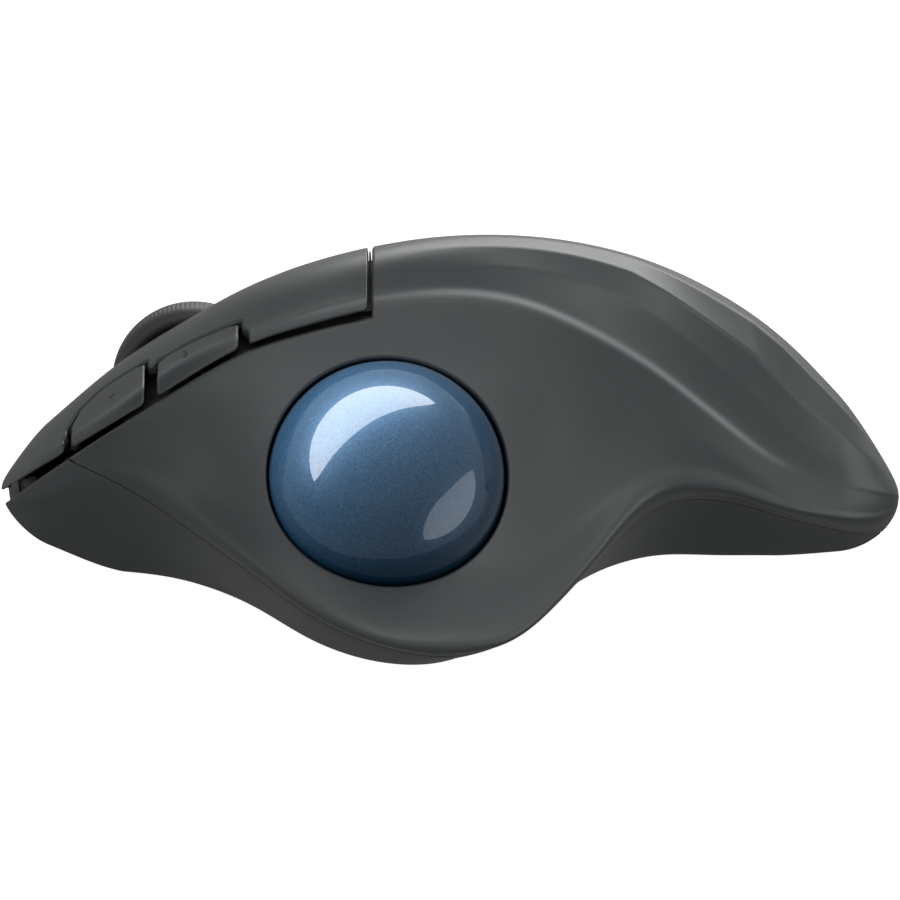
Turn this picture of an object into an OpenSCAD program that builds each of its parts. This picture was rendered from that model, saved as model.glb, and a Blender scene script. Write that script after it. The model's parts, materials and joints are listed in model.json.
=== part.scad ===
// Thumb-operated trackball mouse, wireless, right-handed.
// X runs from the front (-X) to the tail (+X), the thumb side faces -Y, +Z is up.
// The feet stand on Z = 0. All lengths are in millimetres.

/* [Shell] */
// Wall thickness of the case and the keys
wall = 2.0; // [1.6:0.1:2.2]
// Depth of the inner key frame below the outer skin
frame_depth = 3.5; // [3.3:0.1:4.0]
// Thickness of the inner key frame
frame_t = 1.3; // [1.0:0.1:1.6]
// Gap between the two keys
key_gap = 0.6; // [0.5:0.05:0.8]

/* [Trackball] */
// Diameter of the ball
ball_d = 35; // [34.6:0.1:35.1]
// Radius of the round opening in the thumb panel
ring_r = 17.9; // [17.8:0.1:18.2]
// Clearance between the ball and its cup
cup_clear = 0.5; // [0.4:0.1:0.8]
// Thickness of the cup
cup_t = 1.5; // [1.2:0.1:1.8]
// Diameter of each ceramic support bead
bead_d = 3; // [2.4:0.1:3.2]

/* [Scroll wheel] */
// Outer diameter of the wheel
wheel_d = 24.6; // [23.6:0.2:25]
// Width of the rubber tyre
tyre_w = 6.4; // [5.6:0.2:6.8]
// Sideways lean of the wheel, in degrees
wheel_lean = 13; // [11:1:14]

/* [Power] */
// Diameter of the AA cell
cell_d = 14.2; // [13.8:0.1:14.5]
// Length of the AA cell over its button
cell_l = 50; // [49.5:0.1:50.5]

/* [Hidden] */
$fn = 48;

// ---- Outer skin: longitudinal design curves, one [y, z] every 10 mm from x = -60 to x = 60 ----
first_x = -60;
pitch_x = 10;
base_left = [[-13.5, 5], [-14.5, 1], [-17, 1], [-24, 1], [-35.5, 1], [-41.5, 1], [-41, 1],
    [-31, 1], [-16.5, 1], [-10, 1], [-10, 1], [-10, 1], [-11, 2.5]];
seam_line = [[-14.3, 12], [-17.5, 17.5], [-25, 15], [-36, 13.5], [-44, 10], [-48, 7.5],
    [-47.5, 5.5], [-43.5, 6.5], [-31, 10], [-19.5, 14.5], [-16, 14], [-15.5, 10.5], [-14, 7]];
ridge_line = [[-14.5, 14], [-17.5, 20.3], [-25.5, 18], [-37, 16], [-45, 12], [-49.5, 9.5],
    [-49, 8], [-46, 8], [-33.5, 12], [-21.5, 18], [-19.5, 18], [-19.5, 14.5], [-17, 11]];
panel_low = [[-14.2, 16], [-17.2, 22], [-23.5, 21.5], [-31, 21], [-35, 19.2], [-37.5, 16.3],
    [-37, 15.7], [-34.5, 15], [-26, 17.5], [-18.8, 22], [-18, 20.5], [-19.3, 16], [-17.2, 12.5]];
panel_mid = [[-13.8, 17.5], [-16.8, 24.5], [-20.4, 27.5], [-22.5, 29], [-25, 27.6],
    [-26.5, 25.9], [-26, 25.2], [-24.5, 24.3], [-19.5, 24.5], [-16, 26.5], [-17.2, 23],
    [-18.7, 17.5], [-16.5, 14]];
panel_high = [[-13, 18.8], [-16.4, 27.2], [-16.6, 33.2], [-16.5, 35.4], [-16, 36.2],
    [-16, 35.4], [-15.5, 34.8], [-15.5, 34.8], [-13.8, 33], [-13.4, 31], [-15.5, 25.2],
    [-17.2, 18.4], [-15.7, 15.2]];
crease_line = [[-11.5, 19.5], [-14.2, 28.8], [-12.8, 36], [-11.5, 40], [-10, 43.2],
    [-8, 44.5], [-7, 44.8], [-8, 44], [-9.5, 40], [-11.5, 34.5], [-14, 27], [-15.5, 19.5],
    [-14.5, 16.5]];
crest_line = [[-3, 19.6], [-2, 28.8], [-1.5, 35.8], [-1, 41.3], [0, 44.8], [1, 46.8],
    [2, 47.7], [2, 47.7], [1, 46.6], [-1, 44.3], [-4, 40.3], [-6, 34], [-8, 23.5]];
shoulder = [[6, 14.4], [8, 22.5], [10, 28.7], [14, 33.3], [17, 36], [20, 37], [21, 37.8],
    [21, 37.8], [19.5, 37.2], [16.5, 36], [12.5, 33.2], [7, 28], [1, 20]];
outer_side = [[11, 11], [17, 15.5], [23, 20], [29, 23.5], [34, 25], [37, 25.5], [38.5, 25.5],
    [38.5, 25.5], [36.5, 25], [32.5, 24], [26.5, 22], [18, 19], [6.5, 15]];
widest = [[13.5, 7], [22, 8.5], [32, 9], [39, 9], [44, 9.5], [47.5, 9.5], [49.5, 9.5],
    [50, 9.5], [48.5, 9.5], [44.5, 9.5], [37.5, 9], [27, 8.5], [10.5, 8]];
base_right = [[10, 3.5], [19, 1], [29, 1], [36, 1], [41, 1], [44.5, 1], [46.5, 1], [47, 1],
    [45.5, 1], [41.5, 1], [34.5, 1], [24, 1], [7.5, 2.5]];
design_curves = [base_left, seam_line, ridge_line, panel_low, panel_mid, panel_high, crease_line,
    crest_line, shoulder, outer_side, widest, base_right];

// Points where the skin closes at the front and at the tail, and how long each rounding is
front_tip = [-67, -8, 11.5];
tail_tip = [67, -10.5, 11.5];
front_round = 7;
tail_round = 9;
rings = 44;
steps = 4;

// Slant of the cuts along the lower edge of the keys, in degrees from the vertical
edge_slant = 30;
// Lower edge of the keys and upper edge of the case below them, as [x, height across the slant]
key_edge = [[-70, 3.8], [-60, 9.7], [-45, 18.6], [-30, 27.2], [-20, 30.4], [-12.3, 32.4]];
case_edge = [[-70, 2.3], [-60, 8.4], [-45, 17.8], [-30, 26.3], [-20, 29.4], [-11.6, 31.3]];
// The same two edges on the right-hand side, as [x, z]
key_edge_right = [[-70, 9.5], [-60, 12], [-45, 16.5], [-30, 21], [-12.3, 24.5]];
case_edge_right = [[-70, 8.4], [-60, 10.9], [-45, 15.4], [-30, 19.9], [-11.6, 23.5]];
// Upper edge of the side buttons, as [x, y] in plan
forward_top = [[-56.4, -30], [-56.4, -9.5], [-55, -7.5], [-52, -6.6], [-45.4, -7.4], [-45.4, -30]];
back_top = [[-43.5, -30], [-43.5, -9.2], [-31.4, -8.4], [-31.4, -30]];
side_gap = 0.35;
notch_x = [-57.5, -29.8];

// Seam between the two halves: left edge just above the seam line, right edge at one height
seam_rise = 0.3;
seam_right_z = 7;
seam_front_x = -57;

// Trackball and its opening: ball_c is the centre of the ball
ball_c = [-9.4, -25.3, 23.1];
ring_tilt = [41.3, 6];
cup_in = ball_d / 2 + cup_clear;
cup_out = cup_in + cup_t;
cup_rim = 0.4;
cup_foot_r = 12.6;
cup_ring_r = 8.6;
cup_screw_r = 10.7;
bead_gap = 0.05;
bead_angles = [90, 210, 330];
bead_drop = 48;
sensor_tilt = 106;
sensor_turn = 40;
sensor_r = 3.2;

// Scroll wheel: the fork arms stand beside the tyre and turn about a pin behind it
wheel_c = [-38.3, 5, 22.2];
axle_r = 1.5;
pin_r = 1.2;
run_gap = 0.06;
arm_y = 4.0;
arm_t = 1.6;
pin_at = [15, -4];
slot_w = 8.6;

// Keys, their stems and the switches below them
left_stem = [-50.5, -5];
right_stem = [-46, 14.5];
wheel_stem = [-36, -4];
board_z = 5.2;
board_t = 1.6;
board_top = board_z + board_t;
switch_size = [10.8, 5.8, 6.4];
plunger_up = 1.0;
stem_gap = 0.3;
key_stem_z = board_top + switch_size[2] + plunger_up + stem_gap;
side_stem_x = [-51, -37.5];
side_stem_y = -11.2;
side_switch_z = [19, 27];
side_stem_gap = 1.3;

// Battery bay and its door
cell_c = [11, 17, 11.6];
tray_x = [-18, 40];
tray_wall = 1.2;
door_outline = [[-20, 7], [40, 7], [40, 29], [30, 35], [-20, 35]];
door_t = 1.6;
door_gap = 0.25;
receiver_at = [8, 27.4, 3.4];
receiver_size = [19, 6, 13];
guide_at = [-8.2, 9.5];
guide_r = 1.0;

// Bottom controls
power_at = [-34.6, 16];
connect_at = [-33.5, 23];
connect_r = 2.2;

// Screws and feet: the feet lift the base to floor_z; each foot is [x, y, length, turn]
floor_z = 1;
post_xy = [[-30, -19], [-24, 30], [22.3, -8.4], [44, -4]];
post_r = 3;
screw_r = 0.9;
screw_end_z = 17;
board_post_xy = [[-47, 8], [-24.2, 20]];
feet_at = [[-44, 2, 20, 70], [-8, -32, 16, 10], [6, 40, 24, 0], [54, 3, 14, 100]];
foot_w = 6;

// ---- Curve and surface functions ----
function slope(c, i) = (c[min(i + 1, len(c) - 1)] - c[max(i - 1, 0)])
    / (pitch_x * (min(i + 1, len(c) - 1) - max(i - 1, 0)));
function hermite(p, q, mp, mq, t) = (2 * t ^ 3 - 3 * t ^ 2 + 1) * p
    + (t ^ 3 - 2 * t ^ 2 + t) * pitch_x * mp + (3 * t ^ 2 - 2 * t ^ 3) * q
    + (t ^ 3 - t ^ 2) * pitch_x * mq;
// A design curve's [y, z] at any x, straight beyond its ends
function on_curve(c, x) =
    let (last = len(c) - 1, u = (x - first_x) / pitch_x)
    u < 0 ? c[0] + slope(c, 0) * pitch_x * u
    : u > last ? c[last] + slope(c, last) * pitch_x * (u - last)
    : let (i = min(last - 1, floor(u)))
        hermite(c[i], c[i + 1], slope(c, i), slope(c, i + 1), u - i);
function unit(v) = v / max(norm(v), 0.001);
function inward(a, b) = let (d = unit(b - a)) [d[1], -d[0]];
function above_floor(p, inset) = [p[0], max(p[1], floor_z + inset)];
// Inner surfaces leave out the seam line and run straight from the base to the ridge
ridge = 1;
function curves_of(inset) = inset == 0 ? design_curves
    : [for (i = [0 : len(design_curves) - 1]) if (i != ridge) design_curves[i]];
function into_corner(a, p, b) = unit(unit(a - p) + unit(b - p));
// Section knots at x, moved inwards by inset
function knots(x, inset) =
    let (p = [for (c = curves_of(inset)) on_curve(c, x)], n = len(p) - 1)
    [for (i = [0 : n])
        above_floor(i == 0 ? p[0] + [0.8, 1] * inset
            : i == n ? p[n] + [-0.8, 1] * inset
            : i == ridge ? p[i] + into_corner(p[i - 1], p[i], p[i + 1]) * 1.4 * inset
            : p[i] + inward(p[i - 1], p[i + 1]) * inset, inset)];
function rounding(d, length) = sqrt(1 - (1 - max(0, min(1, d / length))) ^ 2);
function yz(p) = [p[1], p[2]];
// Knots drawn in to the two tips, so that the skin closes there
function closed_knots(x, inset) =
    let (f = rounding(x - front_tip[0] - 1.2 * inset, front_round),
        t = rounding(tail_tip[0] - 1.2 * inset - x, tail_round),
        a = yz(front_tip), b = yz(tail_tip))
    [for (p = knots(x, inset)) b + (a + (p - a) * f - b) * t];
function blend(p, q, a, b, t) = ((b - t) * p + (t - a) * q) / (b - a);
// One stretch of a centripetal curve from p1 to p2
function stretch(p0, p1, p2, p3, s) =
    let (t1 = sqrt(max(norm(p1 - p0), 0.000001)),
        t2 = t1 + sqrt(max(norm(p2 - p1), 0.000001)),
        t3 = t2 + sqrt(max(norm(p3 - p2), 0.000001)),
        t = t1 + (t2 - t1) * s,
        a1 = blend(p0, p1, 0, t1, t), a2 = blend(p1, p2, t1, t2, t),
        a3 = blend(p2, p3, t2, t3, t))
    blend(blend(a1, a2, 0, t2, t), blend(a2, a3, t1, t3, t), t1, t2, t);
function section(x, inset) =
    let (p = closed_knots(x, inset), n = len(p) - 1)
    [for (i = [0 : n - 1], k = [0 : steps - 1])
        let (q = stretch(i == 0 ? 2 * p[0] - p[1] : p[i - 1], p[i], p[i + 1],
            i == n - 1 ? 2 * p[n] - p[n - 1] : p[i + 2], k / steps))
        [x, q[0], q[1]],
        [x, p[n][0], p[n][1]]];
// Ring positions, closer together towards the tips
function ring_x(i, inset) =
    let (u = i / (rings + 1), a = front_tip[0] + 1.2 * inset, b = tail_tip[0] - 1.2 * inset)
    a + (b - a) * (0.7 * (1 - cos(180 * u)) / 2 + 0.3 * u);

// The solid inside the skin moved inwards by inset
module skin(inset) {
    loops = [for (i = [1 : rings]) section(ring_x(i, inset), inset)];
    m = len(loops[0]);
    points = [[front_tip[0] + 1.2 * inset, front_tip[1], front_tip[2]],
        for (l = loops) each l,
        [tail_tip[0] - 1.2 * inset, tail_tip[1], tail_tip[2]]];
    last = len(points) - 1;
    faces = [
        for (j = [0 : m - 1]) [0, 1 + (j + 1) % m, 1 + j],
        for (i = [0 : rings - 2], j = [0 : m - 1])
            let (a = 1 + i * m + j, b = 1 + i * m + (j + 1) % m)
            each [[a, b, a + m], [b, b + m, a + m]],
        for (j = [0 : m - 1]) let (r = 1 + (rings - 1) * m) [last, r + j, r + (j + 1) % m]];
    polyhedron(points, faces);
}

// Everything on the upper side of an edge drawn across the slant
module above_slant(edge) {
    rotate([90 - edge_slant, 0, 0])
        linear_extrude(height = 240, center = true)
            polygon(concat(edge, [[edge[len(edge) - 1][0], 90], [edge[0][0], 90]]));
}
// Everything above an edge drawn in side view
module above_side(edge) {
    rotate([90, 0, 0])
        linear_extrude(height = 240, center = true)
            polygon(concat(edge, [[edge[len(edge) - 1][0], 120], [edge[0][0], 120]]));
}
module key_region() {
    intersection() {
        above_slant(key_edge);
        above_side(key_edge_right);
    }
}
module case_cutout() {
    intersection() {
        above_slant(case_edge);
        above_side(case_edge_right);
    }
}
// Everything below the seam between the two halves
module below_seam(lift) {
    xs = [seam_front_x, -53.5, for (x = [-50 : 4 : 58]) x, 62, 75];
    rise = seam_rise + lift;
    // Ahead of x = -50 the seam climbs to meet the edge below the keys
    function edge(x) = x < -50 ? [-17, on_curve(seam_line, -50)[1] - 0.35 * (x + 50)]
        : on_curve(seam_line, min(x, 62));
    rows = [for (x = xs)
        [[x, -90, edge(x)[1] + rise], [x, edge(x)[0] + 2, edge(x)[1] + rise],
            [x, 30, seam_right_z + lift], [x, 90, seam_right_z + lift], [x, 90, -20],
            [x, -90, -20]]];
    n = len(rows);
    m = 6;
    polyhedron([for (r = rows) each r], [
        [for (j = [m - 1 : -1 : 0]) j],
        for (i = [0 : n - 2], j = [0 : m - 1])
            let (a = i * m + j, b = i * m + (j + 1) % m)
            each [[a, b, a + m], [b, b + m, a + m]],
        [for (j = [0 : m - 1]) (n - 1) * m + j]]);
    translate([-80, -90, -20]) cube([80 + seam_front_x + 0.001, 180, 120]);
}
// Keeps a boolean of free-form solids together as one surface
module freeform() {
    resize([0, 0, 0]) children();
}

// ---- Shared placements ----
module at_ball() {
    translate(ball_c) children();
}
// Along the axis of the round opening, from the centre of the ball
module along_ring() {
    at_ball() rotate([0, ring_tilt[1], 0]) rotate([ring_tilt[0], 0, 0]) children();
}
module along_sensor() {
    at_ball() rotate([0, sensor_tilt, sensor_turn]) children();
}
module along_beads() {
    for (a = bead_angles)
        along_ring() rotate([0, 90 + bead_drop, a]) children();
}
module at_wheel() {
    translate(wheel_c) rotate([-wheel_lean, 0, 0]) children();
}
module across(length, r) {
    rotate([90, 0, 0]) cylinder(h = length, r = r, center = true);
}
module along_x(length, r) {
    rotate([0, 90, 0]) cylinder(h = length, r = r);
}
module box(low, high) {
    translate(low) cube(high - low);
}
module posts(r, z0, z1) {
    for (p = post_xy) translate([p[0], p[1], z0]) cylinder(h = z1 - z0, r = r, $fn = 24);
}
module cup_screw_places() {
    for (a = [0, 120, 240])
        translate([ball_c[0], ball_c[1], 0]) rotate([0, 0, a]) translate([cup_screw_r, 0, 0])
            children();
}
// The tilted plane between the keys, as a slab of the given thickness
module key_split(gap) {
    at_wheel() box([-60, -gap / 2, -60], [60, gap / 2, 60]);
}
// Everything on one side of that plane: 1 for the right, -1 for the left
module split_side(side) {
    at_wheel() box([-60, side > 0 ? 0 : -90, -60], [60, side > 0 ? 90 : 0, 60]);
}
module wheel_slot(margin) {
    x = wheel_d / 2 + 1.2 + margin;
    y = slot_w / 2 + margin;
    at_wheel() box([-x, -y, -4], [x, y, 40]);
}
// The cup and its running space, below the rim of the opening
module cup_space() {
    intersection() {
        at_ball() sphere(r = cup_out + 0.4, $fn = 48);
        along_ring() translate([0, 0, cup_rim + 0.4 - 40]) cylinder(h = 40, r = 30, $fn = 24);
    }
}

// ---- Case ----
module upper_case() {
    color("#3b3d40") freeform() difference() {
        skin(0);
        difference() {
            skin(wall);
            posts(post_r, 0, 60);
        }
        below_seam(0);
        case_cutout();
        along_ring() cylinder(h = 40, r = ring_r, $fn = 96);
        cup_space();
        posts(screw_r + 0.05, 0, screw_end_z + 1);
        translate([guide_at[0], guide_at[1], 0]) cylinder(h = 60, r = guide_r + 0.15, $fn = 24);
    }
}
module lower_case() {
    color("#2b2d2f") freeform() difference() {
        intersection() {
            skin(0);
            below_seam(-0.15);
        }
        difference() {
            skin(wall);
            posts(post_r, 0, 60);
            for (p = board_post_xy) translate([p[0], p[1], 0])
                cylinder(h = board_z, r = 2.4, $fn = 24);
        }
        case_cutout();
        cup_space();
        posts(screw_r + 0.15, -1, 60);
        posts(2.2, -1, floor_z + 2);
        for (p = board_post_xy) translate([p[0], p[1], 2]) cylinder(h = 9, r = 0.85, $fn = 24);
        cup_screw_places() translate([0, 0, 1.7]) cylinder(h = 9, r = 0.85, $fn = 24);
        linear_extrude(height = 12) offset(delta = door_gap) polygon(door_outline);
        box([power_at[0] - 3, power_at[1] - 2, -1], [power_at[0] + 5.6, power_at[1] + 2, 8]);
        translate([connect_at[0], connect_at[1], -1])
            cylinder(h = 9, r = connect_r + 0.2, $fn = 32);
    }
}
// Tray under the keys that closes the case and stiffens its front
module key_frame() {
    color("#1d1e1f") freeform() difference() {
        skin(frame_depth);
        skin(frame_depth + frame_t);
        box([-9.6, -100, -50], [90, 100, 90]);
        box([-90, -100, -50], [-57.6, 100, 90]);
        rotate([90 - edge_slant, 0, 0]) linear_extrude(height = 240, center = true)
            polygon([[-80, -90], [-80, 2], [-60, 4], [-45, 13.5], [-30, 22], [-9, 27.5],
                [-5, -90]]);
        rotate([90, 0, 0]) linear_extrude(height = 240, center = true)
            polygon([[-80, -20], [-80, 11], [-60, 11], [-45, 13], [-30, 17], [-5, 20], [-5, -20]]);
        wheel_slot(1.6);
        posts(post_r + 0.4, 0, 60);
        for (p = [left_stem, right_stem]) translate([p[0], p[1], 0])
            cylinder(h = 60, r = 2.6, $fn = 24);
        box([-70, -30, 0], [side_stem_x[0] + 2.6, -9, 60]);
        box([-70, -30, 0], [side_stem_x[0] - 2.7, -7.8, 60]);
        box([side_stem_x[1] - 2.6, -13.2, 0], [side_stem_x[1] + 2.6, -9, 60]);
        box([-48.8, 11.2, 0], [-37.2, 17.8, board_top + switch_size[2] + 0.4]);
    }
}

// ---- Keys and buttons ----
module key_blank() {
    intersection() {
        skin(0);
        key_region();
    }
}
// Plan area of the side buttons and of the slits beside them
module notch() {
    linear_extrude(height = 80) union() {
        offset(delta = side_gap) polygon(forward_top);
        offset(delta = side_gap) polygon(back_top);
        polygon([[notch_x[0], -30], [notch_x[0], -11.5], [-56.4, -9.5], [-52, -9], [-43.6, -9.4],
            [-31.4, -8.9], [notch_x[1], -11], [notch_x[1], -30]]);
    }
}
module key(side, stem_at) {
    freeform() difference() {
        key_blank();
        difference() {
            skin(wall);
            translate([stem_at[0], stem_at[1], key_stem_z]) cylinder(h = 30, r = 1.8, $fn = 24);
        }
        split_side(-side);
        key_split(key_gap);
        wheel_slot(0);
        if (side < 0) notch();
    }
}
module left_key() {
    color("#3b3d40") key(-1, left_stem);
}
module right_key() {
    color("#3b3d40") key(1, right_stem);
}
module side_button(outline, i) {
    freeform() intersection() {
        difference() {
            key_blank();
            difference() {
                skin(wall);
                translate([side_stem_x[i], side_stem_y, side_switch_z[i] + side_stem_gap])
                    cylinder(h = 30, r = 1.2, $fn = 24);
            }
        }
        linear_extrude(height = 80) polygon(outline);
    }
}
module forward_button() {
    color("#3b3d40") side_button(forward_top, 0);
}
module back_button() {
    color("#3b3d40") side_button(back_top, 1);
}

// ---- Scroll wheel ----
module wheel_hub() {
    color("#17181a") at_wheel() difference() {
        union() {
            across(5, wheel_d / 2 - 2.5);
            across(2 * (arm_y - 0.3), 3);
            across(2 * (arm_y + arm_t) - 0.4, axle_r);
        }
        for (a = [0 : 60 : 300]) rotate([0, a, 0]) translate([6.3, 0, 0]) across(8, 1.9);
    }
}
module wheel_tyre() {
    r = wheel_d / 2;
    w = tyre_w / 2;
    color("#26282a") at_wheel() rotate([90, 0, 0]) rotate_extrude($fn = 96)
        polygon([[r - 2.5, -w + 0.5], [r - 2, -w], [r - 1.4, -w], [r - 0.4, -w + 0.8],
            [r, -w + 1.9], [r, w - 1.9], [r - 0.4, w - 0.8], [r - 1.4, w], [r - 2, w],
            [r - 2.5, w - 0.5]]);
}
// One arm of the fork, from the axle back to the pin
module fork_arm(y) {
    translate([0, y, 0]) rotate([90, 0, 0]) linear_extrude(height = arm_t, center = true)
        union() {
            circle(r = 3.2);
            polygon([[0, -3.2], [pin_at[0] + 0.5, pin_at[1] - 2.4], [pin_at[0] + 1, pin_at[1] + 2.2],
                [0, 3.2]]);
            translate(pin_at) circle(r = 2.4);
        }
}
module wheel_carrier() {
    y = arm_y + arm_t / 2;
    color("#6d7072") at_wheel() difference() {
        union() {
            for (side = [-y, y]) fork_arm(side);
            box([pin_at[0] - 1, -y, pin_at[1] - 1.6], [pin_at[0] + 1.6, y, pin_at[1] + 1.6]);
            translate([pin_at[0], 0, pin_at[1]]) across(15, pin_r);
            box([0.6, -y - arm_t / 2, -12.2], [4, -y + arm_t / 2, 0]);
        }
        across(40, axle_r + run_gap);
    }
}
// Two plates on the main board that hold the pin of the fork
module wheel_bracket() {
    color("#6d7072") intersection() {
        difference() {
            at_wheel() for (side = [-1, 1])
                box([pin_at[0] - 2.8, side * 6.7 - 0.7, -30], [pin_at[0] + 2.8, side * 6.7 + 0.7, 0]);
            at_wheel() translate([pin_at[0], 0, pin_at[1]]) across(40, pin_r + run_gap);
        }
        box([-60, -60, board_top], [0, 60, 40]);
    }
}
module wheel_encoder() {
    color("#3f6f4a") difference() {
        box([-36.8, 7.4, board_top], [-31.2, 11.2, 15.5]);
        box([-35.4, 7, 12], [-32.6, 10, 16]);
    }
}

// ---- Trackball and its cup ----
module trackball() {
    color("#3f5f8a") at_ball() sphere(d = ball_d, $fn = 96);
}
module ball_cup() {
    color("#1f2123") difference() {
        union() {
            at_ball() sphere(r = cup_out);
            translate([ball_c[0], ball_c[1], floor_z + wall + 0.1])
                cylinder(h = 1.4, r = cup_foot_r);
            translate([ball_c[0], ball_c[1], floor_z + wall + 0.1]) cylinder(h = 5, r = cup_ring_r);
            along_sensor() translate([0, 0, cup_out - 1]) cylinder(h = 1.6, r = 5);
        }
        at_ball() sphere(r = cup_in);
        along_ring() translate([0, 0, cup_rim]) cylinder(h = 40, r = 30);
        along_sensor() translate([0, 0, cup_in - 2]) cylinder(h = 10, r = sensor_r);
        along_beads() translate([0, 0, cup_in - 1]) cylinder(h = 5, r = bead_d / 2 + 0.02);
        cup_screw_places() cylinder(h = 12, r = 0.9);
    }
}
module support_beads() {
    color("#e8e4dc") along_beads()
        translate([0, 0, ball_d / 2 + bead_gap + bead_d / 2]) sphere(d = bead_d);
}
module screw(z, head_r, head_h, shank_r, length) {
    translate([0, 0, z]) cylinder(h = head_h, r = head_r);
    translate([0, 0, z - length]) cylinder(h = length, r = shank_r);
}
module cup_screws() {
    color("#8d9094") cup_screw_places() screw(floor_z + wall + 1.5, 1.7, 1, 0.8, 2.6);
}
module sensor_housing() {
    color("#2a2c2e") along_sensor() translate([0, 0, cup_out + 0.6]) difference() {
        translate([-5.5, -5.5, 0]) cube([11, 11, 3]);
        translate([0, 0, -1]) cylinder(h = 6, r = sensor_r);
    }
}
module sensor_lens() {
    color("#c9d2da") along_sensor() translate([0, 0, cup_out + 0.4]) union() {
        cylinder(h = 1.4, r = sensor_r - 0.1);
        cylinder(h = 2.2, r = 1.6);
    }
}
module sensor_board() {
    color("#2c5b3c") along_sensor() translate([-7, -7, cup_out + 3.6]) cube([14, 14, 1.2]);
}
module sensor_ribbon() {
    color("#c98b3a") translate([0, -6.7, 0]) rotate([90, 0, 0]) linear_extrude(height = 3.6)
        polygon([[-25, board_top], [-17, board_top], [0, board_top + 0.6], [2.6, board_top + 1.6],
            [2.6, board_top + 2], [0, board_top + 1], [-17, board_top + 0.3],
            [-25, board_top + 0.3]]);
}

// ---- Electronics ----
module main_board() {
    color("#2c5b3c") difference() {
        translate([0, 0, board_z]) linear_extrude(height = board_t)
            polygon([[-53, -9], [-44, -12], [-20, -12], [-20, 26], [-40, 24], [-47, 17],
                [-53, 11]]);
        for (p = board_post_xy) translate([p[0], p[1], 0]) cylinder(h = 12, r = 1);
    }
}
module board_screws() {
    color("#8d9094") for (p = board_post_xy)
        translate([p[0], p[1], 0]) screw(board_top, 1.7, 1, 0.8, 3.6);
}
module radio_chip() {
    color("#151617") box([-32.5, 14, board_top], [-27.5, 19, board_top + 0.9]);
}
module switch_body(x, y) {
    difference() {
        translate([x, y - switch_size[1] / 2, board_top]) cube(switch_size);
        children();
    }
}
module plunger(at, z, travel_room) {
    translate([at[0], at[1], z - 2]) cylinder(h = 2 + travel_room, r = 1.1);
}
module plunger_hole(at, z) {
    translate([at[0], at[1], z - 3.2]) cylinder(h = 4, r = 1.16);
}
module left_switch() {
    color("#202224") switch_body(-52.8, left_stem[1])
        plunger_hole(left_stem, board_top + switch_size[2]);
}
module right_switch() {
    color("#202224") switch_body(-48.4, right_stem[1])
        plunger_hole(right_stem, board_top + switch_size[2]);
}
module wheel_switch() {
    color("#202224") difference() {
        box([-38.2, -6.2, board_top], [-33.8, -1.8, board_top + 3.5]);
        plunger_hole(wheel_stem, board_top + 3.5);
    }
}
module left_plunger() {
    color("#b9483c") plunger(left_stem, board_top + switch_size[2], plunger_up);
}
module right_plunger() {
    color("#b9483c") plunger(right_stem, board_top + switch_size[2], plunger_up);
}
module wheel_plunger() {
    color("#b9483c") plunger(wheel_stem, board_top + 3.5, 0.7);
}
module side_board() {
    color("#2c5b3c") translate([0, -8.2, 0]) rotate([90, 0, 0]) linear_extrude(height = 1.2)
        polygon([[-53, board_top], [-34, board_top], [-34, 27], [-40, 27], [-53, 19]]);
}
module side_switches() {
    color("#202224") for (i = [0, 1]) {
        x = side_stem_x[i];
        z = side_switch_z[i];
        box([x - 2.25, -12.8, z - 3.5], [x + 2.25, -9.4, z]);
        translate([x, side_stem_y, z - 1]) cylinder(h = 1.5, r = 0.9);
    }
}

// ---- Power ----
module battery_tray() {
    r = cell_d / 2 + 0.3;
    length = tray_x[1] - tray_x[0];
    color("#26282a") difference() {
        union() {
            translate([tray_x[0], cell_c[1], cell_c[2]]) along_x(length, r + tray_wall);
            box([tray_x[0], cell_c[1] - r - tray_wall, floor_z + wall + 0.1],
                [tray_x[1], cell_c[1] + r + tray_wall, cell_c[2]]);
            box(receiver_at - [1.5, 1.5, 0.3],
                receiver_at + receiver_size + [1.5, 1.5, 1.5]);
            translate([0, 0, floor_z + wall + 0.1]) linear_extrude(height = 1.2)
                polygon([[-21, 5.6], [41, 5.6], [41, 29.4], [30.4, 36.4], [-21, 36.4]]);
            translate([guide_at[0], guide_at[1], cell_c[2]]) cylinder(h = 7.4, r = 1.8);
        }
        translate([tray_x[0] + 1.6, cell_c[1], cell_c[2]]) along_x(length - 3.2, r);
        box([tray_x[0] + 1.6, cell_c[1] - r, 0], [tray_x[1] - 1.6, cell_c[1] + r, cell_c[2]]);
        box(receiver_at - [0.3, 0.3, 5], receiver_at + receiver_size + [0.3, 0.3, 0.3]);
    }
}
module aa_cell() {
    x = cell_c[0] - cell_l / 2;
    color("#b8792f") translate([x, cell_c[1], cell_c[2]]) union() {
        translate([1, 0, 0]) along_x(cell_l - 1, cell_d / 2);
        along_x(2, 2.7);
    }
}
module contact_spring() {
    x = cell_c[0] + cell_l / 2;
    color("#c3c6ca") for (i = [0 : 2])
        translate([x + 0.3 + i * 0.75, cell_c[1], cell_c[2]]) rotate([0, 90, 0])
            rotate_extrude($fn = 48) translate([2.4 + i * 0.8, 0]) circle(r = 0.28, $fn = 16);
}
module contact_plate() {
    color("#c3c6ca") translate([tray_x[0] + 1.7, cell_c[1], cell_c[2]]) union() {
        box([0, -4.5, -4.5], [0.4, 4.5, 4.5]);
        along_x(cell_c[0] - cell_l / 2 - tray_x[0] - 1.8, 2);
    }
}
module battery_door() {
    color("#2b2d2f") translate([0, 0, floor_z]) difference() {
        linear_extrude(height = door_t) polygon(door_outline);
        for (i = [0 : 4]) box([30 + i * 1.6, 14, -1], [30.8 + i * 1.6, 24, 0.4]);
    }
}
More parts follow.
